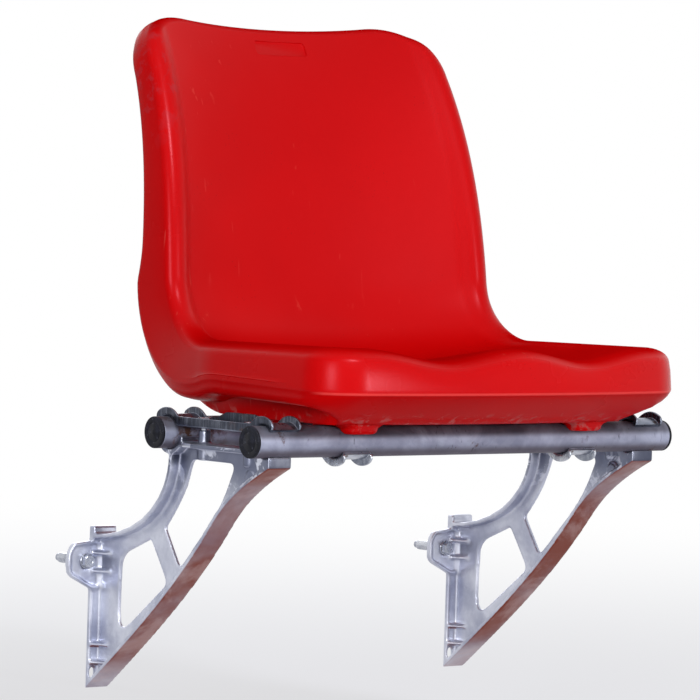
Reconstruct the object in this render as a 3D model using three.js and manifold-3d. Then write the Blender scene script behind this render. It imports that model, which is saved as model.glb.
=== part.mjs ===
// Stadium seat: a hollow moulded bucket seat clamped to two round tubes, which two cast
// brackets carry on a wall. Millimetres, +Z up, X along the tubes, the wall in the plane
// Y = 0 and the sitter facing -Y. The origin lies midway between the two wall anchors.
import * as THREE from 'three';
import { mergeVertices } from 'three/addons/utils/BufferGeometryUtils.js';
import Module from 'manifold-3d';

const wasm = await Module();
wasm.setup();
const deg = Math.PI / 180;

// Clearances and overruns
const touch_gap = 0.3;
const overrun = 2;
const weld_distance = 1e-4;

// Tube frame
const tube_diameter = 32;
const tube_wall = 2.6;
const tube_length = 545;
const tube_spacing = 154;
const front_tube_reach = 284;
const tube_height = 140;

// Tube end caps
const cap_lip = 3;
const cap_lip_round = 1.2;
const cap_plug_length = 14;
const cap_nub_diameter = 5;
const cap_nub_height = 0.8;

// Cast brackets
const bracket_end_inset = 30.5;
const casting_width = 29;
const casting_wall = 5;
const bracket_drop = 132;
const bracket_tab_height = 36;
const bracket_tab_depth = 9;
const arm_foot_height = 27;
const arm_upper_share = 0.46;
const arm_out_share = 0.62;
const arm_lift_share = 1.1;
const cradle_wall = 6;
const cradle_rise = 13;
const cradle_horn = 22;
const top_flange_drop = 9;
const nose_reach = 8;
const nose_depth = 10;
const rib_toe_angle = 38;
const rib_mid_angle = 51;
const rib_nose_angle = 26;
const rib_middle_out_share = 0.699;
const rib_middle_up_share = 0.677;
const gusset_thickness = 3;
const gusset_reach = 20;
const casting_boss_diameter = 15;
const casting_boss_proud = 3;
const casting_boss_back = 34;
const casting_boss_below = 38;
const low_slot_width = 6.5;
const low_slot_length = 13;
const low_slot_height = -113;

// Bracket ear with its slotted hole
const ear_reach = 44;
const ear_top = 22;
const ear_bottom = -29;
const ear_top_slope = 3.3;
const ear_corner_across = 6;
const ear_upper_corner = 14;
const ear_lower_corner = 15;
const ear_rounding_share = 0.35;
const ear_hollow_rounding_share = 0.2;
const ear_rim_width = 3;
const ear_rim_height = 2.5;
const anchor_offset = 21;
const anchor_slot_width = 9;
const anchor_slot_length = 12;

// Clamp straps, the same pressing above the brackets and below the seat
const strap_width = 37;
const strap_sheet = 2.5;
const strap_wall_height = 7.5;
const strap_crown_height = 6.5;
const strap_fillet = 8;
const crown_fillet = 6;
const strap_hump_height = 6.2;
const strap_hump_flat = 44;
const strap_hump_foot = 88;
const strap_flat_offset = 7;
const strap_wrap_angle = 50;
const strap_bolt_inset = 40;
const pillar_diameter = 13;
const pillar_gap = 2;

// Fasteners
const bolt_diameter = 8;
const bolt_head_flats = 13;
const bolt_head_height = 5.3;
const bolt_engagement = 20;
const washer_diameter = 16;
const washer_thickness = 1.6;
const insert_diameter = 12;
const insert_length = 26;
const anchor_length = 46;
const anchor_sleeve_diameter = 11;
const anchor_sleeve_length = 38;

// Seat shell, along its side profile from the front edge to the top of the back
const seat_overhang = 82;
const rim_height = 95.2;
const pan_length = 224;
const bend_radius = 70;
const back_length = 307;
const pan_rake = -0.6;
const back_lean_low = 6.4;
const back_lean_top = 40.7;
const back_lean_power = 1.5;
const front_bow = 16;

// Seat shell, across
const pan_end_inset = 33;
const waist_draw_in = 19.5;
const top_draw_in = 41.5;
const back_taper_power = 1.3;
const front_corner_radius = 50;
const top_corner_radius = 80;
const smallest_front_corner = 10;
const smallest_top_corner = 20;
const corner_inset_share = 0.5;

// Seat shell, where the pan passes into the back, as shares of the bend's length
const blend_start_share = 0.33;
const blend_length_share = 1.2;
const swell_start_share = 0.4;
const swell_length_share = 1.8;
const thinning_length_share = 0.9;

// Seat shell, rim and walls
const pan_rim_across = 26;
const pan_rim_down = 15;
const back_rim_across = 14;
const back_rim_down = 12;
const rim_turn = 84;
const wall_draft = 3;
const front_wall_height = 46;
const rear_wall_height = 38;
const bend_wall_height = 48;
const bend_wall_extra = 11;
const top_wall_height = 27;
const top_wall_power = 0.7;
const ridge_radius = 3;
const ridge_inset = 1.2;
const base_clearance = 1.5;

// Seat shell, rows of the under side from the ridge inwards: each one's inset from the outline
// at the pan's side, the back's side, the front and the top, its fall below the wall at the
// pan's side, and its share of the fall to the base at the front and at the back.
const under_rows = [
  { pan: 9, back: 5, front: 16, top: 5, fall: 9, front_share: 0.3, back_share: 0.45 },
  { pan: 12, back: 9, front: 30, top: 9, fall: 11, front_share: 0.55, back_share: 0.75 },
  { pan: 40, back: 16, front: 48, top: 16, fall: 15, front_share: 0.85, back_share: 0.92 }];
const base_row = { pan: 45, back: 34, front: 56, top: 34 };

// Seat shell, hollows and thickness
const pan_hollow = 20;
const back_hollow = 42;
const top_hollow = 25;
const bowl_power = 0.8;
const top_hollow_power = 1.5;
const thigh_hollow = 12;
const thigh_spacing = 184;
const thigh_fade = 150;
const back_thickness = 15;
const back_edge_extra = 4;
const back_middle_power = 4;

// Seat feet, which straddle the tubes, and the bosses for the seat bolts
const foot_side_inset = 89.5;
const foot_width = 38;
const foot_root_width = 66;
const foot_half_depth = 30;
const foot_drop = 10;
const foot_root_height = 24;
const seat_boss_diameter = 22;
const seat_boss_root = 4;

// Bare number place on the upper back
const plate_width = 68;
const plate_height = 17;
const plate_depth = 1.4;
const plate_reach = 6;
const plate_below_top = 36;

// Numbers of steps and facets
const profile_cells = 240;
const shell_pan_steps = 5;
const shell_bend_steps = 7;
const shell_back_steps = 6;
const shell_corner_steps = 6;
const shell_edge_steps = 14;
const rim_steps = 4;
const round_steps = 28;
const small_round_steps = 12;
const curve_steps = 9;
const corner_steps = 4;
const arch_steps = 5;
const fillet_steps = 2;

// Values worked out from the sizes above
const tube_radius = tube_diameter / 2;
const seat_radius = tube_radius + touch_gap;
const front_tube_y = -front_tube_reach;
const rear_tube_y = front_tube_y + tube_spacing;
const middle_y = (front_tube_y + rear_tube_y) / 2;
const bracket_spacing = tube_length - 2 * bracket_end_inset;
const pan_half_width = tube_length / 2 - pan_end_inset;
const waist_half_width = pan_half_width - waist_draw_in;
const top_half_width = pan_half_width - top_draw_in;
const foot_spacing = 2 * (pan_half_width - foot_side_inset);
const strap_outer_radius = seat_radius + strap_sheet + strap_crown_height;
const pillar_top = tube_height + strap_flat_offset - pillar_gap;
const bolt_rows = [rear_tube_y - strap_bolt_inset, front_tube_y + strap_bolt_inset];
const tube_rows = [rear_tube_y, front_tube_y];
const base_height = tube_height + tube_radius + base_clearance;

// Turns a closed mesh into a solid that can be joined and cut.
function toSolid(geometry) {
  const bare = geometry.index ? geometry.toNonIndexed() : geometry.clone();
  bare.deleteAttribute('normal');
  bare.deleteAttribute('uv');
  const merged = mergeVertices(bare, weld_distance);
  return new wasm.Manifold(new wasm.Mesh({
    numProp: 3,
    vertProperties: Float32Array.from(merged.attributes.position.array),
    triVerts: Uint32Array.from(merged.index.array),
  }));
}

function toGeometry(solid) {
  const mesh = solid.getMesh();
  const geometry = new THREE.BufferGeometry();
  geometry.setAttribute('position', new THREE.BufferAttribute(mesh.vertProperties, 3));
  geometry.setIndex(new THREE.BufferAttribute(mesh.triVerts, 1));
  geometry.computeVertexNormals();
  return geometry;
}

// A slab whose outline lies in the YZ plane, centred on x = middle.
function sideSlab(outline, width, middle = 0) {
  const shape = outline instanceof THREE.Shape ? outline : new THREE.Shape(outline);
  const geometry = new THREE.ExtrudeGeometry(shape, {
    depth: width, bevelEnabled: false, curveSegments: corner_steps,
  });
  const across = new THREE.Matrix4().makeBasis(
    new THREE.Vector3(0, 1, 0), new THREE.Vector3(0, 0, 1), new THREE.Vector3(1, 0, 0));
  geometry.applyMatrix4(across);
  geometry.translate(middle - width / 2, 0, 0);
  return toSolid(geometry);
}

// A slab whose outline lies in the XZ plane, from y = front to y = back.
function wallSlab(outline, front, back) {
  const shape = outline instanceof THREE.Shape ? outline : new THREE.Shape(outline);
  const geometry = new THREE.ExtrudeGeometry(shape, {
    depth: back - front, bevelEnabled: false, curveSegments: corner_steps,
  });
  geometry.rotateX(Math.PI / 2);
  geometry.translate(0, back, 0);
  return toSolid(geometry);
}

function block(x0, x1, y0, y1, z0, z1) {
  const geometry = new THREE.BoxGeometry(x1 - x0, y1 - y0, z1 - z0);
  geometry.translate((x0 + x1) / 2, (y0 + y1) / 2, (z0 + z1) / 2);
  return toSolid(geometry);
}

function rodAlongX(radius, length, y, z, x = 0, steps = round_steps) {
  const geometry = new THREE.CylinderGeometry(radius, radius, length, steps);
  geometry.rotateZ(Math.PI / 2);
  geometry.translate(x, y, z);
  return toSolid(geometry);
}

function rodUpright(radius, bottom, top, x, y, steps = small_round_steps) {
  const geometry = new THREE.CylinderGeometry(radius, radius, top - bottom, steps);
  geometry.rotateX(Math.PI / 2);
  geometry.translate(x, y, (bottom + top) / 2);
  return toSolid(geometry);
}

// A closed outline through corners [across, up, share], each rounded by a curve that takes
// that share of its shorter side.
function roundedShape(corners) {
  const points = corners.map(([across, up]) => new THREE.Vector2(across, up));
  const shape = new THREE.Shape();
  points.forEach((corner, i) => {
    const back = points[(i + points.length - 1) % points.length].clone().sub(corner);
    const on = points[(i + 1) % points.length].clone().sub(corner);
    const rounding = corners[i][2] * Math.min(back.length(), on.length());
    const entry = back.setLength(rounding).add(corner);
    const exit = on.setLength(rounding).add(corner);
    if (i === 0) shape.moveTo(entry.x, entry.y);
    else shape.lineTo(entry.x, entry.y);
    shape.quadraticCurveTo(corner.x, corner.y, exit.x, exit.y);
  });
  shape.closePath();
  return shape;
}

// Moves each point of a closed outline inwards by a wall thickness.
function insetOutline(points, distance) {
  const inward = THREE.ShapeUtils.isClockWise(points) ? -1 : 1;
  return points.map((point, i) => {
    const before = points[(i + points.length - 1) % points.length];
    const after = points[(i + 1) % points.length];
    const a = point.clone().sub(before).normalize();
    const b = after.clone().sub(point).normalize();
    const normalA = new THREE.Vector2(-a.y, a.x).multiplyScalar(inward);
    const normalB = new THREE.Vector2(-b.y, b.x).multiplyScalar(inward);
    const mitre = normalA.clone().add(normalB).normalize();
    return point.clone().addScaledVector(mitre, distance / mitre.dot(normalA));
  });
}

function mix(a, b, share) {
  return a + (b - a) * share;
}

function ease(share) {
  const t = THREE.MathUtils.clamp(share, 0, 1);
  return t * t * (3 - 2 * t);
}

// Seat shell

// The side profile follows the rim: a straight pan, a round bend and a back whose lean grows.
const bend_turn = (90 - back_lean_low - pan_rake) * deg;
const bend_length = bend_radius * bend_turn;
const shell_length = pan_length + bend_length + back_length;

function profileHeading(s) {
  if (s <= pan_length) return pan_rake * deg;
  if (s <= pan_length + bend_length) return pan_rake * deg + (s - pan_length) / bend_radius;
  const share = Math.min((s - pan_length - bend_length) / back_length, 1);
  const lean = mix(back_lean_low, back_lean_top, share ** back_lean_power);
  return (90 - lean) * deg;
}

const profile_points = [new THREE.Vector2(front_tube_y - seat_overhang, tube_height + rim_height)];
for (let i = 0; i < profile_cells; i += 1) {
  const heading = profileHeading((i + 0.5) / profile_cells * shell_length);
  const step = new THREE.Vector2(Math.cos(heading), Math.sin(heading));
  step.multiplyScalar(shell_length / profile_cells);
  profile_points.push(profile_points[i].clone().add(step));
}

// A point of the shell: x across, s along the profile, n out of the sitting side.
function shellPoint(x, s, n) {
  const inside = THREE.MathUtils.clamp(s, 0, shell_length);
  const cell = Math.min(Math.floor(inside / shell_length * profile_cells), profile_cells - 1);
  const share = inside / shell_length * profile_cells - cell;
  const base = profile_points[cell].clone().lerp(profile_points[cell + 1], share);
  const heading = profileHeading(inside);
  const y = base.x + (s - inside) * Math.cos(heading) - n * Math.sin(heading);
  const z = base.y + (s - inside) * Math.sin(heading) + n * Math.cos(heading);
  return new THREE.Vector3(x, y, z);
}

// Share of the way from the pan into the back.
function backShare(s) {
  return ease(((s - pan_length) / bend_length + blend_start_share) / blend_length_share);
}

// Share of the way up the back.
function riseShare(s) {
  return THREE.MathUtils.clamp((s - pan_length - bend_length) / back_length, 0, 1);
}

function halfWidth(s) {
  const back = mix(waist_half_width, top_half_width, riseShare(s) ** back_taper_power);
  return mix(pan_half_width, back, backShare(s));
}

function rimAcross(s) {
  return mix(pan_rim_across, back_rim_across, backShare(s));
}

// How far the sitting surface lies below the rim line.
function hollowDepth(x, s) {
  const crest = halfWidth(s) - wall_draft - rimAcross(s);
  const across = Math.min(Math.abs(x) / crest, 1);
  const bowl = (1 - across * across) ** bowl_power;
  const back = mix(back_hollow, top_hollow, riseShare(s) ** top_hollow_power);
  const thigh = Math.abs(x) < thigh_spacing
    ? thigh_hollow * Math.sin(Math.PI * x / thigh_spacing) ** 2 : 0;
  return mix(thigh, mix(pan_hollow, back, backShare(s)) * bowl, ease(s / thigh_fade));
}

function wallHeight(s) {
  const pan = mix(front_wall_height, rear_wall_height, THREE.MathUtils.clamp(s / pan_length, 0, 1));
  const back = mix(bend_wall_height, top_wall_height, riseShare(s) ** top_wall_power);
  const swell = ((s - pan_length) / bend_length + swell_start_share) / swell_length_share;
  const bump = Math.sin(Math.PI * THREE.MathUtils.clamp(swell, 0, 1)) ** 2;
  return mix(pan, back, backShare(s)) + bend_wall_extra * bump;
}

// How far the under or rear side lies below the rim line.
function sheetDepth(x, s) {
  const level = shellPoint(0, Math.min(s, pan_length), 0).z - base_height;
  const edge = wallHeight(s) + back_edge_extra;
  const across = Math.min(Math.abs(x) / halfWidth(s), 1);
  const middle = Math.max(hollowDepth(x, s) + back_thickness, edge);
  const back = mix(middle, edge, across ** back_middle_power);
  return mix(level, back, ease((s - pan_length) / bend_length / thinning_length_share));
}

// How far the front edge bows forward at a share of its half length.
function bowAt(share) {
  return front_bow * (1 - share * share);
}

// The outline drawn in by an inset at the side, which may change along it, at the front and at
// the top, as a closed loop of [x, s, facing]: front edge, right side, top edge, left side.
// Facing is -1 at the front, 0 at the side and 1 at the top. Each loop has corners of its own,
// so that no inset folds over itself.
function shellLoop(sideInset, front_inset, top_inset) {
  const front_round = Math.max(smallest_front_corner,
    front_corner_radius - corner_inset_share * (front_inset + sideInset(0)));
  const top_round = Math.max(smallest_top_corner,
    top_corner_radius - corner_inset_share * (top_inset + sideInset(shell_length)));
  const side_start = front_inset + front_round;
  const side_end = shell_length - top_inset - top_round;
  const reach = (s) => halfWidth(s) - sideInset(s);
  const front_half = reach(side_start) - front_round;
  const top_half = reach(side_end) - top_round;
  const tilt = Math.atan(2 * front_bow / front_half);
  const right = [];
  for (let i = 1; i <= shell_corner_steps; i += 1) {
    const turn = mix(tilt, Math.PI / 2, i / shell_corner_steps);
    const across = (Math.sin(turn) - Math.sin(tilt)) / (1 - Math.sin(tilt));
    const along = (Math.cos(tilt) - Math.cos(turn)) / Math.cos(tilt);
    right.push([front_half + front_round * across, front_inset + front_round * along, -Math.cos(turn)]);
  }
  const bend_end = pan_length + bend_length;
  const stretches = [[side_start, pan_length, shell_pan_steps], [pan_length, bend_end, shell_bend_steps],
    [bend_end, side_end, shell_back_steps]];
  for (const [from, to, steps] of stretches) {
    for (let i = 1; i <= steps; i += 1) {
      const s = mix(from, to, i / steps);
      right.push([reach(s), s, 0]);
    }
  }
  for (let i = 1; i < shell_corner_steps; i += 1) {
    const turn = i / shell_corner_steps * Math.PI / 2;
    const across = top_half + top_round * Math.cos(turn);
    right.push([across, side_end + top_round * Math.sin(turn), Math.sin(turn)]);
  }
  const front_edge = [];
  const top_edge = [];
  for (let i = 0; i <= shell_edge_steps; i += 1) {
    const share = 2 * i / shell_edge_steps - 1;
    front_edge.push([front_half * share, front_inset - bowAt(share), -Math.cos(tilt * share)]);
    top_edge.push([-top_half * share, shell_length - top_inset, 1]);
  }
  const left = right.map(([x, s, facing]) => [-x, s, facing]).reverse();
  return [...front_edge, ...right, ...top_edge, ...left];
}

// The closed rows of the shell's edge, from the crest over the rim to the under side.
function shellRows() {
  const crestInset = (s) => wall_draft + rimAcross(s);
  const evenLoop = (inset) => shellLoop(inset, inset(0), inset(shell_length));
  const row = (loop, depthAt) => loop.map(([x, s], i) => {
    const depth = depthAt(i, x, s);
    return { x, s, point: shellPoint(x, s, -depth) };
  });
  const crest_loop = evenLoop(crestInset);
  const outline = evenLoop(() => 0);
  const crest = crest_loop.map(([x, s]) => hollowDepth(x, s));
  const back = outline.map(([, s]) => backShare(s));
  const frontness = outline.map(([, , facing]) => Math.min(facing, 0) ** 2);
  const wall = outline.map(([, s, facing], i) => wallHeight(s) + crest[i] * back[i] * Math.max(facing, 0));
  const rows = [row(crest_loop, (i) => crest[i])];
  for (let step = 1; step <= rim_steps; step += 1) {
    const turn = step / rim_steps * rim_turn * deg;
    const loop = evenLoop((s) => crestInset(s) - rimAcross(s) * Math.sin(turn));
    rows.push(row(loop, (i) => crest[i] + mix(pan_rim_down, back_rim_down, back[i]) * (1 - Math.cos(turn))));
  }
  rows.push(row(outline, (i) => wall[i] - ridge_radius));
  rows.push(row(evenLoop(() => ridge_inset), (i) => wall[i]));
  for (const under of under_rows) {
    const loop = shellLoop((s) => mix(under.pan, under.back, backShare(s)), under.front, under.top);
    rows.push(row(loop, (i, x, s) => {
      const gap = sheetDepth(x, s) - wall[i];
      const pan_fall = mix(under.fall, gap * under.front_share, frontness[i]);
      return wall[i] + mix(pan_fall, gap * under.back_share, back[i]);
    }));
  }
  const baseInset = (s) => mix(base_row.pan, base_row.back, backShare(s));
  rows.push(row(shellLoop(baseInset, base_row.front, base_row.top), (i, x, s) => sheetDepth(x, s)));
  return rows;
}

function shellBody() {
  const rows = shellRows();
  const corners = [];
  for (let row = 0; row < rows.length - 1; row += 1) {
    rows[row].forEach((here, i) => {
      const next = (i + 1) % rows[row].length;
      const below = rows[row + 1];
      pushQuad(corners, here.point, below[i].point, below[next].point, rows[row][next].point);
    });
  }
  pushSheet(corners, rows[0], hollowDepth, false);
  pushSheet(corners, rows[rows.length - 1], sheetDepth, true);
  return toSolid(new THREE.BufferGeometry().setFromPoints(corners));
}

function pushQuad(corners, a, b, c, d) {
  corners.push(a, b, c, a, c, d);
}

// Fills a ring with rows of points that run straight across from side to side.
function pushSheet(corners, ring, depthAt, turned) {
  const across = shell_edge_steps;
  const rows = (ring.length - 2 * across) / 2;
  const bow_rows = rows / 2;
  const grid = [];
  for (let row = 0; row <= rows; row += 1) {
    const right = ring[across + row];
    const line = [];
    for (let i = 0; i <= across; i += 1) {
      const share = 2 * i / across - 1;
      const x = right.x * share;
      const s = right.s - bowAt(share) * (1 - ease(row / bow_rows));
      line.push(shellPoint(x, s, -depthAt(x, s)));
    }
    line[across] = right.point;
    line[0] = ring[(ring.length - row) % ring.length].point;
    grid.push(line);
  }
  grid[0] = ring.slice(0, across + 1).map((place) => place.point);
  grid[rows] = ring.slice(across + rows, 2 * across + rows + 1).map((place) => place.point).reverse();
  for (let row = 0; row < rows; row += 1) {
    for (let i = 0; i < across; i += 1) {
      const quad = [grid[row][i], grid[row][i + 1], grid[row + 1][i + 1], grid[row + 1][i]];
      pushQuad(corners, ...(turned ? quad.reverse() : quad));
    }
  }
}

// A foot that straddles one tube, wider where it leaves the shell.
function shellFoot(x, tube_y) {
  const bottom = base_height - foot_drop;
  const root = base_height + overrun;
  const top = base_height + foot_root_height;
  const outline = [
    new THREE.Vector2(-foot_root_width / 2, top), new THREE.Vector2(-foot_root_width / 2, root),
    new THREE.Vector2(-foot_width / 2, bottom), new THREE.Vector2(foot_width / 2, bottom),
    new THREE.Vector2(foot_root_width / 2, root), new THREE.Vector2(foot_root_width / 2, top)];
  const foot = wallSlab(outline, tube_y - foot_half_depth, tube_y + foot_half_depth);
  return foot.translate([x, 0, 0]);
}

const seat_rows = [-foot_spacing / 2, foot_spacing / 2];
const seat_boss_bottom = tube_height - strap_flat_offset + pillar_gap;
const insert_bottom = seat_boss_bottom + touch_gap;

function seatShell() {
  let shell = shellBody();
  for (const x of seat_rows) {
    for (const y of tube_rows) shell = shell.add(shellFoot(x, y));
    for (const y of bolt_rows) {
      shell = shell.add(rodUpright(seat_boss_diameter / 2, seat_boss_bottom, base_height + seat_boss_root,
        x, y));
      shell = shell.subtract(rodUpright(insert_diameter / 2 + touch_gap, seat_boss_bottom - overrun,
        insert_bottom + insert_length + touch_gap, x, y));
    }
  }
  for (const y of tube_rows) {
    shell = shell.subtract(rodAlongX(seat_radius, tube_length, y, tube_height));
  }
  return shell.subtract(numberPlace());
}

// A shallow place for a seat number, left bare, cut square to the back where it lies.
function numberPlace() {
  const s = shell_length - plate_below_top;
  const [low, centre, high] = [-1, 0, 1].map((end) => {
    const along = s + end * plate_height / 2;
    return shellPoint(0, along, -hollowDepth(0, along));
  });
  const geometry = new THREE.BoxGeometry(plate_width, plate_height, plate_reach + plate_depth);
  geometry.translate(0, 0, (plate_reach - plate_depth) / 2);
  geometry.rotateX(Math.atan2(high.z - low.z, high.y - low.y));
  geometry.translate(centre.x, centre.y, centre.z);
  return toSolid(geometry);
}

// Tubes and caps

function tube(y) {
  const outer = rodAlongX(tube_radius, tube_length, y, tube_height);
  return outer.subtract(rodAlongX(tube_radius - tube_wall, tube_length + overrun, y, tube_height));
}

// An end cap that turns about the tube axis, its lip outside and its plug in the bore.
function endCap(side, y) {
  const bore = tube_radius - tube_wall - touch_gap;
  const lip = [
    [0, cap_lip + cap_nub_height], [cap_nub_diameter / 2, cap_lip + cap_nub_height],
    [cap_nub_diameter / 2, cap_lip], [tube_radius - cap_lip_round, cap_lip],
    [tube_radius, cap_lip - cap_lip_round], [tube_radius, 0], [bore, 0],
    [bore, -cap_plug_length], [bore - cap_lip, -cap_plug_length], [bore - cap_lip, 0], [0, 0]];
  const outline = lip.map(([r, h]) => new THREE.Vector2(r, h)).reverse();
  const geometry = new THREE.LatheGeometry(outline, round_steps);
  geometry.rotateZ(-side * Math.PI / 2);
  geometry.translate(side * (tube_length / 2 + touch_gap), y, tube_height);
  return toSolid(geometry);
}

// Cast brackets, drawn about their own web at x = 0

const nose_y = front_tube_y - nose_reach;
const nose_top = tube_height - tube_radius;
const nose_bottom = nose_top - nose_depth;
const rib_start = new THREE.Vector2(0, -bracket_drop);
const rib_middle = new THREE.Vector2(nose_y * rib_middle_out_share,
  mix(-bracket_drop, tube_height, rib_middle_up_share));
const rib_end = new THREE.Vector2(nose_y, nose_bottom);
const arm_top = new THREE.Vector2(rear_tube_y, tube_height - tube_radius - cradle_wall);

// The way along a curve that leaves at one angle and arrives at another.
function ribCurve(from, to, leave, arrive) {
  const reach = from.distanceTo(to) / 3;
  const along = (angle) => new THREE.Vector2(-Math.cos(angle * deg), Math.sin(angle * deg));
  return new THREE.CubicBezierCurve(from, from.clone().addScaledVector(along(leave), reach),
    to.clone().addScaledVector(along(arrive), -reach), to);
}

function lowerRib() {
  const low = ribCurve(rib_start, rib_middle, rib_toe_angle, rib_mid_angle).getPoints(curve_steps);
  const high = ribCurve(rib_middle, rib_end, rib_mid_angle, rib_nose_angle).getPoints(curve_steps);
  return low.concat(high.slice(1));
}

function upperArm() {
  const foot = new THREE.Vector2(0, arm_foot_height);
  const curve = new THREE.CubicBezierCurve(arm_top,
    new THREE.Vector2(rear_tube_y, mix(arm_foot_height, arm_top.y, arm_upper_share)),
    new THREE.Vector2(rear_tube_y * arm_out_share, arm_foot_height * arm_lift_share), foot);
  return curve.getPoints(curve_steps);
}

// The outer line of the casting from the front of its top flange round the flange and the arm.
function bracketBack() {
  const flange = tube_height - top_flange_drop;
  return [new THREE.Vector2(front_tube_y + tube_radius, flange), new THREE.Vector2(rear_tube_y, flange),
    ...upperArm()];
}

// The whole casting below its cradles, with the nose in front of the front tube.
function bracketCore() {
  return [...lowerRib(), new THREE.Vector2(nose_y, nose_top), ...bracketBack()];
}

// The room between the flanges, which ends behind the solid nose.
function bracketPocket() {
  return insetOutline([...lowerRib().slice(0, -1), ...bracketBack()], casting_wall);
}

// Window corners as shares: how far out to the front tube, how far down from the tubes to the
// toe, and how much of the shorter side the rounding takes.
const upper_window_shares = [
  [0.542, 0.096, 0.13], [0.785, 0.096, 0.19], [0.722, 0.25, 0.74],
  [0.482, 0.505, 0.16], [0.391, 0.36, 0.08], [0.486, 0.243, 0.6]];
const lower_window_shares = [
  [0.313, 0.408, 0.08], [0.134, 0.485, 0.26], [0.13, 0.79, 0.31], [0.415, 0.566, 0.15]];

function bracketWindow(shares) {
  const corners = shares.map(([out, down, rounding]) => [
    out * front_tube_y, mix(tube_height, -bracket_drop, down), rounding]);
  return sideSlab(roundedShape(corners), casting_width + overrun);
}

function cradle(y) {
  const top = tube_height - tube_radius + cradle_rise;
  return rodAlongX(tube_radius + cradle_wall, casting_width, y, tube_height)
    .intersect(block(-casting_width, casting_width, Math.max(y - cradle_horn, nose_y), y + cradle_horn,
      tube_height - tube_diameter, top));
}

function gusset(height) {
  const half_web = casting_wall / 2;
  const corner = [
    new THREE.Vector2(-half_web + overrun, -casting_wall + overrun),
    new THREE.Vector2(-casting_width / 2, -casting_wall + overrun),
    new THREE.Vector2(-casting_width / 2, -casting_wall),
    new THREE.Vector2(-half_web, -casting_wall - gusset_reach),
    new THREE.Vector2(-half_web + overrun, -casting_wall - gusset_reach)];
  const geometry = new THREE.ExtrudeGeometry(new THREE.Shape(corner), {
    depth: gusset_thickness, bevelEnabled: false,
  });
  geometry.translate(0, 0, height - gusset_thickness / 2);
  return toSolid(geometry);
}

function ear() {
  const inner = -casting_wall / 2;
  const corners = [
    [inner, ear_top], [-ear_reach + ear_corner_across, ear_top - ear_top_slope],
    [-ear_reach, ear_top - ear_upper_corner], [-ear_reach, ear_bottom + ear_lower_corner],
    [-casting_width / 2, ear_bottom], [inner, ear_bottom]].map(([x, z]) => new THREE.Vector2(x, z));
  const outline = roundedShape(corners.map((corner) => [corner.x, corner.y, ear_rounding_share]));
  const inset = insetOutline(corners, ear_rim_width);
  const hollow = roundedShape(inset.map((corner) => [corner.x, corner.y, ear_hollow_rounding_share]));
  const sheet = wallSlab(outline, -casting_wall, 0);
  const rim = wallSlab(outline, -casting_wall - ear_rim_height, -casting_wall / 2);
  return sheet.add(rim.subtract(wallSlab(hollow, -casting_wall - ear_rim_height - overrun, -casting_wall)));
}

// An upright slot through the wall plate, its round top centred at the given place.
function slot(x, z, width, length) {
  const half = width / 2;
  const low = z - length + width;
  const shape = new THREE.Shape();
  shape.moveTo(x + half, low);
  shape.lineTo(x + half, z);
  shape.absarc(x, z, half, 0, Math.PI, false);
  shape.lineTo(x - half, low);
  shape.absarc(x, low, half, Math.PI, 2 * Math.PI, false);
  return wallSlab(shape.getPoints(curve_steps / 2), -casting_wall - overrun, overrun);
}

const gusset_height_shares = [0.06, -0.08, -0.65, -0.79];

function bracket() {
  const core = bracketCore();
  let keep = sideSlab(core, casting_wall).add(cradle(rear_tube_y)).add(cradle(front_tube_y));
  for (const y of bolt_rows) {
    const foot = tube_height - top_flange_drop - casting_wall - pillar_diameter;
    keep = keep.add(rodUpright(pillar_diameter / 2, foot, pillar_top, 0, y));
  }
  const boss_y = front_tube_y + casting_boss_back;
  const boss_z = tube_height - casting_boss_below;
  keep = keep.add(rodAlongX(casting_boss_diameter / 2, casting_wall + 2 * casting_boss_proud,
    boss_y, boss_z, 0, small_round_steps));
  const pocket = sideSlab(bracketPocket(), casting_width + overrun);
  let body = sideSlab(core, casting_width).subtract(pocket).add(keep);
  body = body.subtract(bracketWindow(upper_window_shares)).subtract(bracketWindow(lower_window_shares));
  const half = casting_width / 2;
  body = body.add(block(-half, half, -bracket_tab_depth, 0, arm_foot_height - casting_wall,
    bracket_tab_height));
  for (const share of gusset_height_shares) body = body.add(gusset(share * bracket_drop));
  body = body.add(ear());
  for (const y of tube_rows) {
    body = body.subtract(rodAlongX(seat_radius, casting_width + overrun, y, tube_height));
  }
  for (const y of bolt_rows) {
    body = body.subtract(rodUpright(bolt_diameter / 2 + touch_gap, pillar_top - bolt_engagement - overrun,
      pillar_top + overrun, 0, y, small_round_steps));
  }
  body = body.subtract(slot(-anchor_offset, 0, anchor_slot_width, anchor_slot_length));
  const low_x = -(casting_wall / 2 + half) / 2;
  return body.subtract(slot(low_x, low_slot_height, low_slot_width, low_slot_length));
}

// Clamp straps, drawn above the tubes about x = 0

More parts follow.
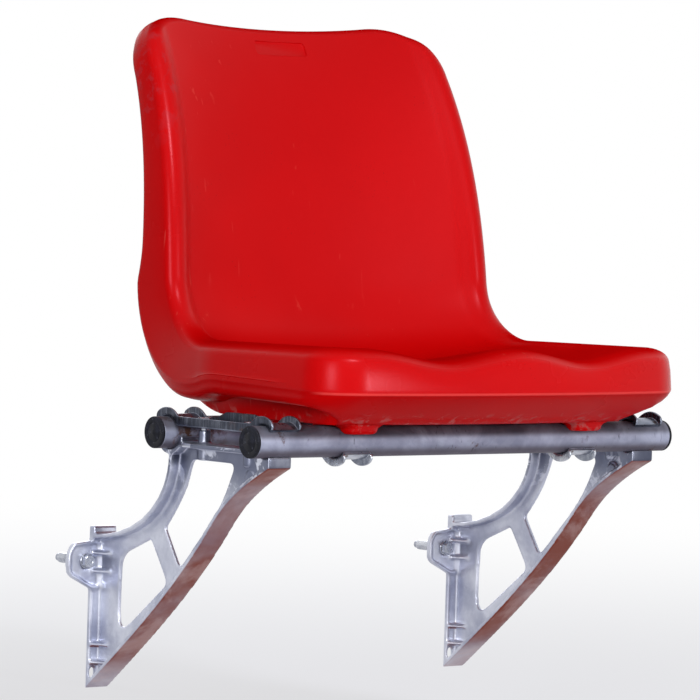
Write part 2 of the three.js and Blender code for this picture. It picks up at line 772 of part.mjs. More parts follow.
// The line that a strap follows over both tubes, at a radius and a flat height above their
// axes, with a fillet where it leaves each tube. Lifts are [distance from the middle, height]
// pairs, from the rear tube to the middle, that raise the flat between the tubes.
function strapLine(radius, flat, fillet, lifts = []) {
  const wrap = strap_wrap_angle * deg;
  const leave = Math.acos(THREE.MathUtils.clamp((flat + fillet) / (radius + fillet), -1, 1));
  const fillet_y = Math.sin(leave) * (radius + fillet);
  const half = [];
  for (let i = 0; i <= arch_steps; i += 1) {
    const turn = mix(-wrap, leave, i / arch_steps);
    half.push([rear_tube_y - radius * Math.sin(turn), radius * Math.cos(turn)]);
  }
  for (let i = 1; i <= fillet_steps; i += 1) {
    const turn = mix(leave, 0, i / fillet_steps);
    half.push([rear_tube_y - fillet_y + fillet * Math.sin(turn), flat + fillet - fillet * Math.cos(turn)]);
  }
  for (const [distance, lift] of lifts) half.push([middle_y + distance, flat + lift]);
  const rear = half.map(([y, up]) => new THREE.Vector2(y, tube_height + up));
  const front = half.map(([y, up]) => new THREE.Vector2(2 * middle_y - y, tube_height + up));
  return [...rear, ...front.reverse()];
}

// The pressed strap. The wall on its +X side can have a raised middle.
function clampStrap(has_hump) {
  const inner = strapLine(seat_radius, strap_flat_offset, strap_fillet);
  const outer = strapLine(seat_radius + strap_sheet, strap_flat_offset + strap_sheet,
    strap_fillet - strap_sheet);
  const hump = has_hump ? [[strap_hump_foot / 2, 0], [strap_hump_flat / 2, strap_hump_height]] : [];
  const side = (strap_width - strap_sheet) / 2;
  const wall = (x, lifts) => {
    const crown = strapLine(strap_outer_radius, strap_flat_offset + strap_sheet + strap_wall_height,
      crown_fillet, lifts);
    return sideSlab([...inner, ...crown.reverse()], strap_sheet, x);
  };
  let strap = sideSlab([...inner, ...outer.reverse()], strap_width);
  strap = strap.add(wall(-side, [])).add(wall(side, hump));
  for (const y of bolt_rows) {
    strap = strap.subtract(rodUpright(bolt_diameter / 2 + touch_gap, tube_height,
      tube_height + tube_diameter, 0, y));
  }
  return strap;
}

// The same strap turned over, so that it hangs below the tubes.
function turnedOver(solid) {
  return solid.mirror([0, 0, 1]).translate([0, 0, 2 * tube_height]);
}

// Fasteners, drawn upright with the head above and z = 0 under the head

function hexBolt(grip) {
  const head = new THREE.CylinderGeometry(bolt_head_flats / Math.sqrt(3), bolt_head_flats / Math.sqrt(3),
    bolt_head_height, 6);
  head.rotateX(Math.PI / 2);
  head.translate(0, 0, bolt_head_height / 2);
  return toSolid(head).add(rodUpright(bolt_diameter / 2, -grip, overrun, 0, 0));
}

function ring(outer, inner, thickness) {
  return rodUpright(outer, 0, thickness, 0, 0)
    .subtract(rodUpright(inner, -overrun, thickness + overrun, 0, 0));
}

// Materials

const finishes = {
  shell: { color: 0xc81414, roughness: 0.38, metalness: 0 },
  tube: { color: 0x8c91a0, roughness: 0.55, metalness: 0.9 },
  cap: { color: 0x202028, roughness: 0.6, metalness: 0 },
  casting: { color: 0xaab0bf, roughness: 0.42, metalness: 0.9 },
  strap: { color: 0x8a8f9a, roughness: 0.35, metalness: 0.95 },
  fastener: { color: 0xc0c4cc, roughness: 0.3, metalness: 1 },
  insert: { color: 0xb59a5a, roughness: 0.35, metalness: 1 },
};

const seat = new THREE.Group();

function place(name, solid, finish) {
  const mesh = new THREE.Mesh(toGeometry(solid), new THREE.MeshStandardMaterial(finishes[finish]));
  mesh.name = name;
  seat.add(mesh);
}

place('seat_shell', seatShell(), 'shell');
const tube_names = ['rear', 'front'];
tube_rows.forEach((y, row) => {
  place(`${tube_names[row]}_tube`, tube(y), 'tube');
  place(`${tube_names[row]}_cap_left`, endCap(-1, y), 'cap');
  place(`${tube_names[row]}_cap_right`, endCap(1, y), 'cap');
});

const casting = bracket();
const bracket_strap = clampStrap(true);
const seat_strap = turnedOver(clampStrap(false));
const washer = ring(washer_diameter / 2, bolt_diameter / 2 + touch_gap, washer_thickness);
const anchor = hexBolt(anchor_length + casting_wall);
const flat_top = tube_height + strap_flat_offset + strap_sheet + touch_gap;
const head_lift = washer_thickness + touch_gap;
const bolt = hexBolt(head_lift + touch_gap + strap_sheet + pillar_gap + bolt_engagement);

for (const [side_name, side] of [['left', -1], ['right', 1]]) {
  const x = side * bracket_spacing / 2;
  place(`bracket_${side_name}`, casting.translate([x, 0, 0]), 'casting');
  place(`bracket_strap_${side_name}`, bracket_strap.translate([x, 0, 0]), 'strap');
  const seat_x = side * foot_spacing / 2;
  place(`seat_strap_${side_name}`, seat_strap.translate([seat_x, 0, 0]), 'strap');
  bolt_rows.forEach((y, row) => {
    const tag = `${tube_names[row]}_${side_name}`;
    place(`bracket_washer_${tag}`, washer.translate([x, y, flat_top]), 'fastener');
    place(`bracket_bolt_${tag}`, bolt.translate([x, y, flat_top + head_lift]), 'fastener');
    place(`seat_washer_${tag}`, turnedOver(washer.translate([seat_x, y, flat_top])), 'fastener');
    place(`seat_bolt_${tag}`, turnedOver(bolt.translate([seat_x, y, flat_top + head_lift])), 'fastener');
    const insert = ring(insert_diameter / 2, bolt_diameter / 2 + touch_gap, insert_length);
    place(`seat_insert_${tag}`, insert.translate([seat_x, y, insert_bottom]), 'insert');
  });
  const anchor_x = x - anchor_offset;
  const lay = [90, 0, 0];
  const face = -casting_wall - touch_gap;
  place(`anchor_washer_${side_name}`, washer.rotate(lay).translate([anchor_x, face, 0]), 'fastener');
  const head_place = [anchor_x, face - head_lift, 0];
  place(`anchor_bolt_${side_name}`, anchor.rotate(lay).translate(head_place), 'fastener');
  const sleeve = ring(anchor_sleeve_diameter / 2, bolt_diameter / 2 + touch_gap, anchor_sleeve_length);
  place(`anchor_sleeve_${side_name}`,
    sleeve.rotate(lay).translate([anchor_x, anchor_sleeve_length + touch_gap, 0]), 'fastener');
}

export default seat;
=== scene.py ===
# Looks of the stadium seat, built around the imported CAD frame. Lengths are in metres.
import math

import bmesh
import bpy
import numpy as np
from mathutils import Matrix, Vector


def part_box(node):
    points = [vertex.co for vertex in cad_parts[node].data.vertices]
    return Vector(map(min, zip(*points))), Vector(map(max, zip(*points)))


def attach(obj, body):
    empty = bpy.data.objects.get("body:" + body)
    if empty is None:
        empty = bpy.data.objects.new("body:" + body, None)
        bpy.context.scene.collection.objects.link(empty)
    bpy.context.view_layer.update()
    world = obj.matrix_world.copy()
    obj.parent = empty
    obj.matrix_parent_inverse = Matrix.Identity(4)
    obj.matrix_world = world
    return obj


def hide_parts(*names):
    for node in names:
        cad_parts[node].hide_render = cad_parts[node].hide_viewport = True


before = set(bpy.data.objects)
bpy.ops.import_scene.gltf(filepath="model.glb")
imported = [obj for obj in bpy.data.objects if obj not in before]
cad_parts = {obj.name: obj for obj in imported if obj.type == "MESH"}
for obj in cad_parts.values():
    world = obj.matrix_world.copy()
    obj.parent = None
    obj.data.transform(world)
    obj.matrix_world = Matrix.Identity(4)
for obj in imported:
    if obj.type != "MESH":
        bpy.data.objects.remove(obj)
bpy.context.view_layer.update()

# Names of the repeated pieces, and directions
SIDES = {"left": -1, "right": 1}
ROWS = ("rear", "front")
RIGHT = (1, 0, 0)
OUT = (0, -1, 0)
UP = (0, 0, 1)
DOWN = (0, 0, -1)


def box_centre(node):
    low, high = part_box(node)
    return (low + high) / 2


def box_size(node):
    low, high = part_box(node)
    return high - low


# Places and sizes taken from the frame
TUBE_Y = {row: box_centre(f"{row}_tube").y for row in ROWS}
TUBE_Z = box_centre("front_tube").z
TUBE_RADIUS = box_size("front_tube").z / 2
TUBE_LENGTH = box_size("front_tube").x
BOLT_Y = {row: box_centre(f"seat_bolt_{row}_left").y for row in ROWS}
SEAT_STRAP_X = box_centre("seat_strap_right").x

# The gap that touching pieces keep, and the radius of what lies round a tube
TOUCH_GAP = 0.0003
CRADLE_RADIUS = TUBE_RADIUS + TOUCH_GAP

# Seat shell, along its side profile from the front edge to the top of the back
SEAT_OVERHANG = 0.082
RIM_HEIGHT = 0.0952
PAN_LENGTH = 0.224
BEND_RADIUS = 0.070
BACK_LENGTH = 0.307
PAN_RAKE = math.radians(-0.6)
BACK_LEAN_LOW = math.radians(6.4)
BACK_LEAN_TOP = math.radians(40.7)
BACK_LEAN_POWER = 1.5
FRONT_BOW = 0.016

# Seat shell, across
PAN_HALF_WIDTH = 0.2395
WAIST_HALF_WIDTH = 0.220
TOP_HALF_WIDTH = 0.198
TAPER_POWER = 1.3
FRONT_CORNER_RADIUS = 0.050
TOP_CORNER_RADIUS = 0.080
SMALLEST_FRONT_CORNER = 0.010
SMALLEST_TOP_CORNER = 0.020
CORNER_INSET_SHARE = 0.5

# Seat shell, rim and walls
PAN_RIM_ACROSS = 0.026
PAN_RIM_DOWN = 0.015
BACK_RIM_ACROSS = 0.014
BACK_RIM_DOWN = 0.012
RIM_TURN = math.radians(84)
WALL_DRAFT = 0.003
DRAFT_CLOSING = 0.8
FRONT_WALL_HEIGHT = 0.046
REAR_WALL_HEIGHT = 0.038
BEND_WALL_HEIGHT = 0.048
BEND_WALL_EXTRA = 0.011
TOP_WALL_HEIGHT = 0.027
TOP_WALL_POWER = 0.7
RIDGE_RADIUS = 0.003
RIDGE_INSET = 0.0012
RIDGE_TURN_SHARE = 0.3
FRONT_RIDGE_Z = TUBE_Z + RIM_HEIGHT - FRONT_WALL_HEIGHT
BASE_CLEARANCE = 0.0015
BASE_Z = TUBE_Z + TUBE_RADIUS + BASE_CLEARANCE

# Seat shell, hollows and thickness
PAN_HOLLOW = 0.020
BACK_HOLLOW = 0.042
TOP_HOLLOW = 0.025
BOWL_POWER = 0.8
TOP_HOLLOW_POWER = 1.5
THIGH_HOLLOW = 0.012
THIGH_SPACING = 0.184
THIGH_FADE = 0.150
CREST_ROLL = 0.022
BACK_THICKNESS = 0.015
BACK_EDGE_EXTRA = 0.004
SHEET_SQUARENESS = 4

# Seat shell, mesh fineness
EDGE_CELLS = 96
FRONT_CORNER_CELLS = 20
SIDE_CELLS = 110
TOP_CORNER_CELLS = 24
RIM_CELLS = 9
PROFILE_CELLS = 1200
WELD_DISTANCE = 1e-5


def mix(a, b, share):
    return a + (b - a) * share


def ease(share):
    share = np.clip(share, 0, 1)
    return share * share * (3 - 2 * share)


BEND_TURN = math.pi / 2 - BACK_LEAN_LOW - PAN_RAKE
BEND_LENGTH = BEND_RADIUS * BEND_TURN
SHELL_LENGTH = PAN_LENGTH + BEND_LENGTH + BACK_LENGTH
BACK_BLEND_LEAD = BEND_LENGTH / 3
BACK_BLEND_LENGTH = BEND_LENGTH * 1.2
SWELL_LEAD = BEND_LENGTH * 0.4
SWELL_LENGTH = BEND_LENGTH * 1.8
SHEET_BLEND_RATE = 1.1


def rise_share(s):
    """Share of the way up the back, from the bend to the top edge."""
    return np.clip((s - PAN_LENGTH - BEND_LENGTH) / BACK_LENGTH, 0, 1)


def back_share(s):
    """Share of the way from the pan into the back."""
    return ease((s - PAN_LENGTH + BACK_BLEND_LEAD) / BACK_BLEND_LENGTH)


def heading(s):
    """The side profile's slope: a straight pan, a round bend and a back whose lean grows."""
    s = np.asarray(s, float)
    low = np.where(s <= PAN_LENGTH, PAN_RAKE, PAN_RAKE + (s - PAN_LENGTH) / BEND_RADIUS)
    lean = mix(BACK_LEAN_LOW, BACK_LEAN_TOP, rise_share(s) ** BACK_LEAN_POWER)
    return np.where(s > PAN_LENGTH + BEND_LENGTH, math.pi / 2 - lean, low)


slopes = heading((np.arange(PROFILE_CELLS) + 0.5) / PROFILE_CELLS * SHELL_LENGTH)
step = SHELL_LENGTH / PROFILE_CELLS
PROFILE_Y = np.concatenate([[0], np.cumsum(np.cos(slopes))]) * step + TUBE_Y["front"] - SEAT_OVERHANG
PROFILE_Z = np.concatenate([[0], np.cumsum(np.sin(slopes))]) * step + TUBE_Z + RIM_HEIGHT
PROFILE_S = np.linspace(0, SHELL_LENGTH, PROFILE_CELLS + 1)

# Places from left to right along the front and top edges, how far the front edge bows forward
# there, and the turns of a top corner
ACROSS = np.linspace(-1, 1, EDGE_CELLS + 1)
EDGE_BOW = FRONT_BOW * (1 - ACROSS * ACROSS)
TOP_CORNER_TURNS = np.arange(1, TOP_CORNER_CELLS) / TOP_CORNER_CELLS * math.pi / 2


def shell_point(x, s, n):
    """A point of the shell: x across, s along the profile, n out of the sitting side."""
    s = np.asarray(s, float)
    inside = np.clip(s, 0, SHELL_LENGTH)
    slope = heading(inside)
    y = np.interp(inside, PROFILE_S, PROFILE_Y) + (s - inside) * np.cos(slope) - n * np.sin(slope)
    z = np.interp(inside, PROFILE_S, PROFILE_Z) + (s - inside) * np.sin(slope) + n * np.cos(slope)
    return np.stack(np.broadcast_arrays(x, y, z), -1)


def half_width(s):
    back = mix(WAIST_HALF_WIDTH, TOP_HALF_WIDTH, rise_share(s) ** TAPER_POWER)
    return mix(PAN_HALF_WIDTH, back, back_share(s))


def rim_across(s):
    """Width of the rim's round, from its crest to the wall."""
    return mix(PAN_RIM_ACROSS, BACK_RIM_ACROSS, back_share(s))


def crest_inset(s):
    return rim_across(s) + WALL_DRAFT


def hollow_depth(x, s):
    """How far the sitting surface lies below the rim line."""
    crest = half_width(s) - crest_inset(s)
    across = np.minimum(np.abs(x) / crest, 1)
    bowl = (1 - across * across) ** BOWL_POWER * ease((crest - np.abs(x)) / CREST_ROLL)
    back = mix(BACK_HOLLOW, TOP_HOLLOW, rise_share(s) ** TOP_HOLLOW_POWER)
    deepest = mix(PAN_HOLLOW, back, back_share(s))
    thigh = THIGH_HOLLOW * np.sin(np.pi * x / THIGH_SPACING) ** 2
    thigh = np.where(np.abs(x) < THIGH_SPACING, thigh, 0)
    return mix(thigh, deepest * bowl, ease(s / THIGH_FADE))


def wall_height(s):
    pan = mix(FRONT_WALL_HEIGHT, REAR_WALL_HEIGHT, np.clip(s / PAN_LENGTH, 0, 1))
    back = mix(BEND_WALL_HEIGHT, TOP_WALL_HEIGHT, rise_share(s) ** TOP_WALL_POWER)
    swell = np.clip((s - PAN_LENGTH + SWELL_LEAD) / SWELL_LENGTH, 0, 1)
    return mix(pan, back, back_share(s)) + BEND_WALL_EXTRA * np.sin(np.pi * swell) ** 2


def sheet_depth(x, s):
    """How far the under or rear side lies below the rim line."""
    level = shell_point(0, np.minimum(s, PAN_LENGTH), 0)[..., 2] - BASE_Z
    edge = wall_height(s) + BACK_EDGE_EXTRA
    across = np.minimum(np.abs(x) / half_width(s), 1)
    middle = np.maximum(hollow_depth(x, s) + BACK_THICKNESS, edge)
    sheet = mix(middle, edge, across**SHEET_SQUARENESS)
    return mix(level, sheet, ease((s - PAN_LENGTH) / BEND_LENGTH * SHEET_BLEND_RATE))


def front_corner_turns(tilt):
    return mix(tilt, math.pi / 2, np.arange(1, FRONT_CORNER_CELLS + 1) / FRONT_CORNER_CELLS)


def shell_loop(side_inset, front_inset, top_inset):
    """The outline drawn in by some insets, as x and s: front edge, right, top edge, left."""
    front_round = FRONT_CORNER_RADIUS - CORNER_INSET_SHARE * (front_inset + side_inset(0.0))
    front_round = max(front_round, SMALLEST_FRONT_CORNER)
    top_round = TOP_CORNER_RADIUS - CORNER_INSET_SHARE * (top_inset + side_inset(SHELL_LENGTH))
    top_round = max(top_round, SMALLEST_TOP_CORNER)
    side_start = front_inset + front_round
    side_end = SHELL_LENGTH - top_inset - top_round
    front_half = half_width(side_start) - side_inset(side_start) - front_round
    top_half = half_width(side_end) - side_inset(side_end) - top_round
    tilt = math.atan(2 * FRONT_BOW / front_half)
    turn = front_corner_turns(tilt)
    reach = (np.sin(turn) - math.sin(tilt)) / (1 - math.sin(tilt))
    corner_x = front_half + front_round * reach
    corner_s = front_inset + front_round * (math.cos(tilt) - np.cos(turn)) / math.cos(tilt)
    side_s = mix(side_start, side_end, np.arange(1, SIDE_CELLS + 1) / SIDE_CELLS)
    side_x = half_width(side_s) - side_inset(side_s)
    top_x = top_half + top_round * np.cos(TOP_CORNER_TURNS)
    top_s = side_end + top_round * np.sin(TOP_CORNER_TURNS)
    right_x = np.concatenate([corner_x, side_x, top_x])
    right_s = np.concatenate([corner_s, side_s, top_s])
    edge_s = np.full_like(ACROSS, SHELL_LENGTH - top_inset)
    x = np.concatenate([front_half * ACROSS, right_x, -top_half * ACROSS, -right_x[::-1]])
    s = np.concatenate([front_inset - EDGE_BOW, right_s, edge_s, right_s[::-1]])
    return x, s


def outward_share():
    """How far each place of the loop faces the front (-1), the side (0) or the top (1)."""
    front_half = half_width(FRONT_CORNER_RADIUS) - FRONT_CORNER_RADIUS
    tilt = np.arctan(2 * FRONT_BOW / front_half * ACROSS)
    corner = -np.cos(front_corner_turns(tilt[-1]))
    right = np.concatenate([corner, np.zeros(SIDE_CELLS), np.sin(TOP_CORNER_TURNS)])
    return np.concatenate([-np.cos(tilt), right, np.ones(EDGE_CELLS + 1), right[::-1]])


# The upper part of the wall: share of the way down, and how far it swells out there
WALL_SWELLS = ((0.4, 0.0006), (0.8, 0.0004))

# The under side of the edge, row by row outside in: inset of the pan's side, of the back's
# side, of the front and of the top, then the fall below the wall at the pan's side, or as a
# share of the way to the sheet at the front and at the back.
UNDER_ROWS = (
    (0.002, 0.003, 0.006, 0.003, 0.0050, 0.11, 0.30),
    (0.004, 0.005, 0.016, 0.005, 0.0105, 0.30, 0.45),
    (0.008, 0.009, 0.030, 0.009, 0.0135, 0.55, 0.75),
    (0.022, 0.013, 0.040, 0.013, 0.0148, 0.72, 0.86),
    (0.037, 0.017, 0.047, 0.017, 0.0158, 0.84, 0.92),
    (0.042, 0.026, 0.050, 0.026, 0.0170, 0.92, 0.98),
)

# The same four insets where the edge meets the closed under and rear side
BASE_ROW = (0.045, 0.034, 0.056, 0.034)

# Faint mould line along the pan's sides: how far it lies above the ridge, how far it stands
# proud, where along the profile it starts and ends, and its inset for each metre of height.
SEAM_ROWS = ((0.0080, 0), (0.0071, 0.0008), (0.0062, 0))
SEAM_START = 0.060
SEAM_END = 0.250
SEAM_FADE = 0.045
SEAM_DRAFT = 0.04


def seam_strength(s):
    return ease((s - SEAM_START) / SEAM_FADE) * ease((SEAM_END - s) / SEAM_FADE)


def under_loop(pan_in, back_in, front_in, top_in):
    """The outline drawn in by the insets of the pan's side, the back's side, the front and the top."""
    return shell_loop(lambda s: mix(pan_in, back_in, back_share(s)), front_in, top_in)


def shell_rows():
    """The closed rows of the shell's edge, from the crest over the rim to the under side."""
    outward = outward_share()
    frontness = np.where(outward < 0, outward**2, 0.0)
    x, s = under_loop(0.0, 0.0, 0.0, 0.0)
    back = back_share(s)
    crest_x, crest_s = shell_loop(crest_inset, crest_inset(0.0), crest_inset(SHELL_LENGTH))
    crest = hollow_depth(crest_x, crest_s)
    wall = wall_height(s) + crest * back * np.maximum(outward, 0)
    rim_down = mix(PAN_RIM_DOWN, BACK_RIM_DOWN, back)
    rows = [(crest_x, crest_s, crest)]

    def add(side_inset, depth):
        x, s = shell_loop(side_inset, side_inset(0.0), side_inset(SHELL_LENGTH))
        rows.append((x, s, depth))

    def add_even(inset, depth):
        add(lambda s: inset + 0 * s, depth)

    def rim_depth(turn):
        return crest + rim_down * (1 - math.cos(turn))

    for i in range(1, RIM_CELLS + 1):
        turn = i / RIM_CELLS * RIM_TURN
        add(lambda s, t=turn: crest_inset(s) - rim_across(s) * math.sin(t), rim_depth(turn))
    seam_top = wall - SEAM_ROWS[0][0]
    for share, swell in WALL_SWELLS:
        inset = WALL_DRAFT * (1 - DRAFT_CLOSING * share) - swell
        add_even(inset, mix(rim_depth(RIM_TURN), seam_top, share))
    for above, proud in SEAM_ROWS:
        add(lambda s, a=above, p=proud: SEAM_DRAFT * a - p * seam_strength(s), wall - above)
    add_even(0, wall - RIDGE_RADIUS)
    add_even(RIDGE_INSET * RIDGE_TURN_SHARE, wall - RIDGE_RADIUS * RIDGE_TURN_SHARE)
    add_even(RIDGE_INSET, wall)
    for *insets, side_fall, front_fall, back_fall in UNDER_ROWS:
        x, s = under_loop(*insets)
        gap = sheet_depth(x, s) - wall
        fall = mix(mix(side_fall, gap * front_fall, frontness), gap * back_fall, back)
        rows.append((x, s, wall + fall))
    x, s = under_loop(*BASE_ROW)
    rows.append((x, s, sheet_depth(x, s)))
    return rows


def sheet_grid(x, s, depth):
    """Fills a loop with rows of points that run straight across from side to side."""
    count = (len(x) - 2 * EDGE_CELLS) // 2
    grid = []
    for k in range(count + 1):
        if k == 0:
            row_x, row_s = x[: EDGE_CELLS + 1], s[: EDGE_CELLS + 1]
        elif k == count:
            last = slice(EDGE_CELLS + count, 2 * EDGE_CELLS + count + 1)
            row_x, row_s = x[last][::-1], s[last][::-1]
        else:
            row_x = x[EDGE_CELLS + k] * ACROSS
            row_s = s[EDGE_CELLS + k] - EDGE_BOW * (1 - ease(k / (count / 2)))
        grid.append(shell_point(row_x, row_s, -depth(row_x, row_s)))
    return grid


def quads_between(a, b, closed):
    """Quads between two rows of points."""
    if closed:
        return np.stack([a, b, np.roll(b, -1, 0), np.roll(a, -1, 0)], 1)
    return np.stack([a[:-1], a[1:], b[1:], b[:-1]], 1)


def closed_mesh(name, points, faces, weld=False):
    """A mesh with its faces turned outwards. Welding joins the points that coincide."""
    mesh = bpy.data.meshes.new(name)
    mesh.from_pydata(points, [], faces)
    work = bmesh.new()
    work.from_mesh(mesh)
    if weld:
        bmesh.ops.remove_doubles(work, verts=work.verts, dist=WELD_DISTANCE)
    bmesh.ops.recalc_face_normals(work, faces=work.faces)
    work.to_mesh(mesh)
    work.free()
    return mesh


def shell_mesh():
    """The whole skin: the rows of the edge, the sitting side and the under and rear side."""
    rows = shell_rows()
    edge = [shell_point(x, s, -depth) for x, s, depth in rows]
    quads = [quads_between(a, b, True) for a, b in zip(edge[:-1], edge[1:])]
    for row, depth in ((rows[0], hollow_depth), (rows[-1], sheet_depth)):
        grid = sheet_grid(row[0], row[1], depth)
        quads += [quads_between(a, b, False) for a, b in zip(grid[:-1], grid[1:])]
    points = np.concatenate(quads).reshape(-1, 3)
    faces = np.arange(len(points)).reshape(-1, 4)
    return closed_mesh("seat_skin", points.tolist(), faces.tolist(), weld=True)


# Objects from rings of points. A lathed end closes at NEAR_AXIS.
LATHE_STEPS = 96
NEAR_AXIS = 0.0001


def new_object(name, data):
    obj = bpy.data.objects.new(name, data)
    bpy.context.scene.collection.objects.link(obj)
    return obj


def ringed_object(name, rings, capped=True):
    """A closed body through rings of points, with flat ends or joined end to end."""
    count = len(rings[0])
    points = [tuple(p) for ring in rings for p in ring]
    faces = []
    for r in range(len(rings) - 1 if capped else len(rings)):
        a = r * count
        b = (r + 1) % len(rings) * count
        faces += [(a + i, a + (i + 1) % count, b + (i + 1) % count, b + i) for i in range(count)]
    if capped:
        faces.append(tuple(range(count))[::-1])
        faces.append(tuple(range((len(rings) - 1) * count, len(rings) * count)))
    return new_object(name, closed_mesh(name, points, faces))


def lathe_rings(outline, steps=LATHE_STEPS):
    """Rings round +Z for each (radius, height) of an outline."""
    turns = np.linspace(0, 2 * math.pi, steps, endpoint=False)
    rings = []
    for radius, height in outline:
        rings.append([(radius * math.cos(t), radius * math.sin(t), height) for t in turns])
    return rings


def stand(obj, place, axis):
    """Puts an object that was made along +Z at a place, along an axis."""
    turn = Vector(UP).rotation_difference(Vector(axis)).to_matrix().to_4x4()
    obj.matrix_world = Matrix.Translation(place) @ turn


def round_bar(radius, length, axis, centre, steps=LATHE_STEPS):
    outline = [(radius, -length / 2), (radius, length / 2)]
    bar = ringed_object("bar", lathe_rings(outline, steps))
    stand(bar, centre, axis)
    return bar


def boolean(obj, cutter, operation):
    """Joins or cuts with another object, which is then taken away."""
    modifier = obj.modifiers.new("cut", "BOOLEAN")
    modifier.operation = operation
    modifier.object = cutter
    modifier.solver = "MANIFOLD"
    bpy.context.view_layer.update()
    graph = bpy.context.evaluated_depsgraph_get()
    mesh = bpy.data.meshes.new_from_object(obj.evaluated_get(graph))
    obj.modifiers.clear()
    obj.data = mesh
    bpy.data.objects.remove(cutter)


def coat(obj, material):
    obj.data.materials.clear()
    obj.data.materials.append(material)


def finish_piece(obj, material, node, angle=35):
    """Smooths and coats a piece that stands for a node. Edges sharper than the angle stay sharp."""
    for face in obj.data.polygons:
        face.use_smooth = True
    obj.data.set_sharp_from_angle(angle=math.radians(angle))
    coat(obj, material)
    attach(obj, "root")
    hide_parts(node)


# Feet and bosses under the shell. A foot has a half size both ways at its root and its bottom.
FOOT_ROOT = (0.037, 0.025)
FOOT_BOTTOM = (0.020, 0.023)
FOOT_DROP = 0.010
FOOT_TOP = 0.020
FOOT_OVERLAP = 0.002
FOOT_SQUARENESS = 4.0
FOOT_FLARE_POWER = 1.7
FOOT_ROUND = 0.005
FOOT_ROUND_STEPS = 4
FOOT_RINGS = 12
STUD_STEPS = 48
FOOT_FORWARD = {"front": 0.005, "rear": 0}
BOSS_RADIUS = 0.011
BOSS_OVERLAP = 0.004
BOSS_FOOT_GAP = 0.002
BORE_OVERCUT = 0.002
STRAP_FLAT_OFFSET = 0.007

# Label place on the upper back, and its cutter's rings: inset and height above the surface
PLATE_SIZE = (0.068, 0.017)
PLATE_DEPTH = 0.0014
PLATE_BELOW_TOP = 0.036
PLATE_CORNER = 0.004
PLATE_CORNER_STEPS = 6
PLATE_RINGS = (
    (0.0012, -PLATE_DEPTH),
    (0.0004, -PLATE_DEPTH + 0.0004),
    (0, -PLATE_DEPTH + 0.001),
    (0, 0.008),
)


def foot_ring(half_x, half_y, z):
    ring = []
    for i in range(STUD_STEPS):
        turn = 2 * math.pi * i / STUD_STEPS
        c, q = math.cos(turn), math.sin(turn)
        x = math.copysign(abs(c) ** (2 / FOOT_SQUARENESS), c) * half_x
        y = math.copysign(abs(q) ** (2 / FOOT_SQUARENESS), q) * half_y
        ring.append((x, y, z))
    return ring


def shell_foot(x, y):
    """A rounded foot that flares where it leaves the under side."""
    rings = [foot_ring(*FOOT_ROOT, BASE_Z + FOOT_TOP)]
    for i in range(FOOT_RINGS + 1):
        share = i / FOOT_RINGS
        spread = (1 - share) ** FOOT_FLARE_POWER
        half_x = mix(FOOT_BOTTOM[0], FOOT_ROOT[0], spread)
        half_y = mix(FOOT_BOTTOM[1], FOOT_ROOT[1], spread)
        drop = share * (FOOT_DROP + FOOT_OVERLAP - FOOT_ROUND)
        rings.append(foot_ring(half_x, half_y, BASE_Z + FOOT_OVERLAP - drop))
    for i in range(1, FOOT_ROUND_STEPS + 1):
        turn = i / FOOT_ROUND_STEPS * math.pi / 2
        inset = FOOT_ROUND * (1 - math.cos(turn))
        z = BASE_Z - FOOT_DROP + FOOT_ROUND * (1 - math.sin(turn))
        rings.append(foot_ring(FOOT_BOTTOM[0] - inset, FOOT_BOTTOM[1] - inset, z))
    foot = ringed_object("foot", rings)
    foot.location = (x, y, 0)
    return foot


def plate_ring(half_x, half_y, z):
    """A rectangle with round corners."""
    ring = []
    for qx, qy, start in ((1, 1, 0), (-1, 1, 90), (-1, -1, 180), (1, -1, 270)):
        for i in range(PLATE_CORNER_STEPS + 1):
            turn = math.radians(start + 90 * i / PLATE_CORNER_STEPS)
            x = qx * (half_x - PLATE_CORNER) + PLATE_CORNER * math.cos(turn)
            y = qy * (half_y - PLATE_CORNER) + PLATE_CORNER * math.sin(turn)
            ring.append((x, y, z))
    return ring


def plate_cutter():
    """The cutter of the bare shallow place, laid on the sitting side of the upper back."""
    places = [SHELL_LENGTH - PLATE_BELOW_TOP + q * PLATE_SIZE[1] for q in (-0.5, 0, 0.5)]
    low, centre, high = (shell_point(0, s, -hollow_depth(0, s)) for s in places)
    rings = [plate_ring(PLATE_SIZE[0] / 2 - inset, PLATE_SIZE[1] / 2 - inset, z) for inset, z in PLATE_RINGS]
    cutter = ringed_object("plate_cutter", rings)
    lean = math.atan2(high[2] - low[2], high[1] - low[1])
    cutter.matrix_world = Matrix.Translation(Vector(centre)) @ Matrix.Rotation(lean, 4, "X")
    return cutter


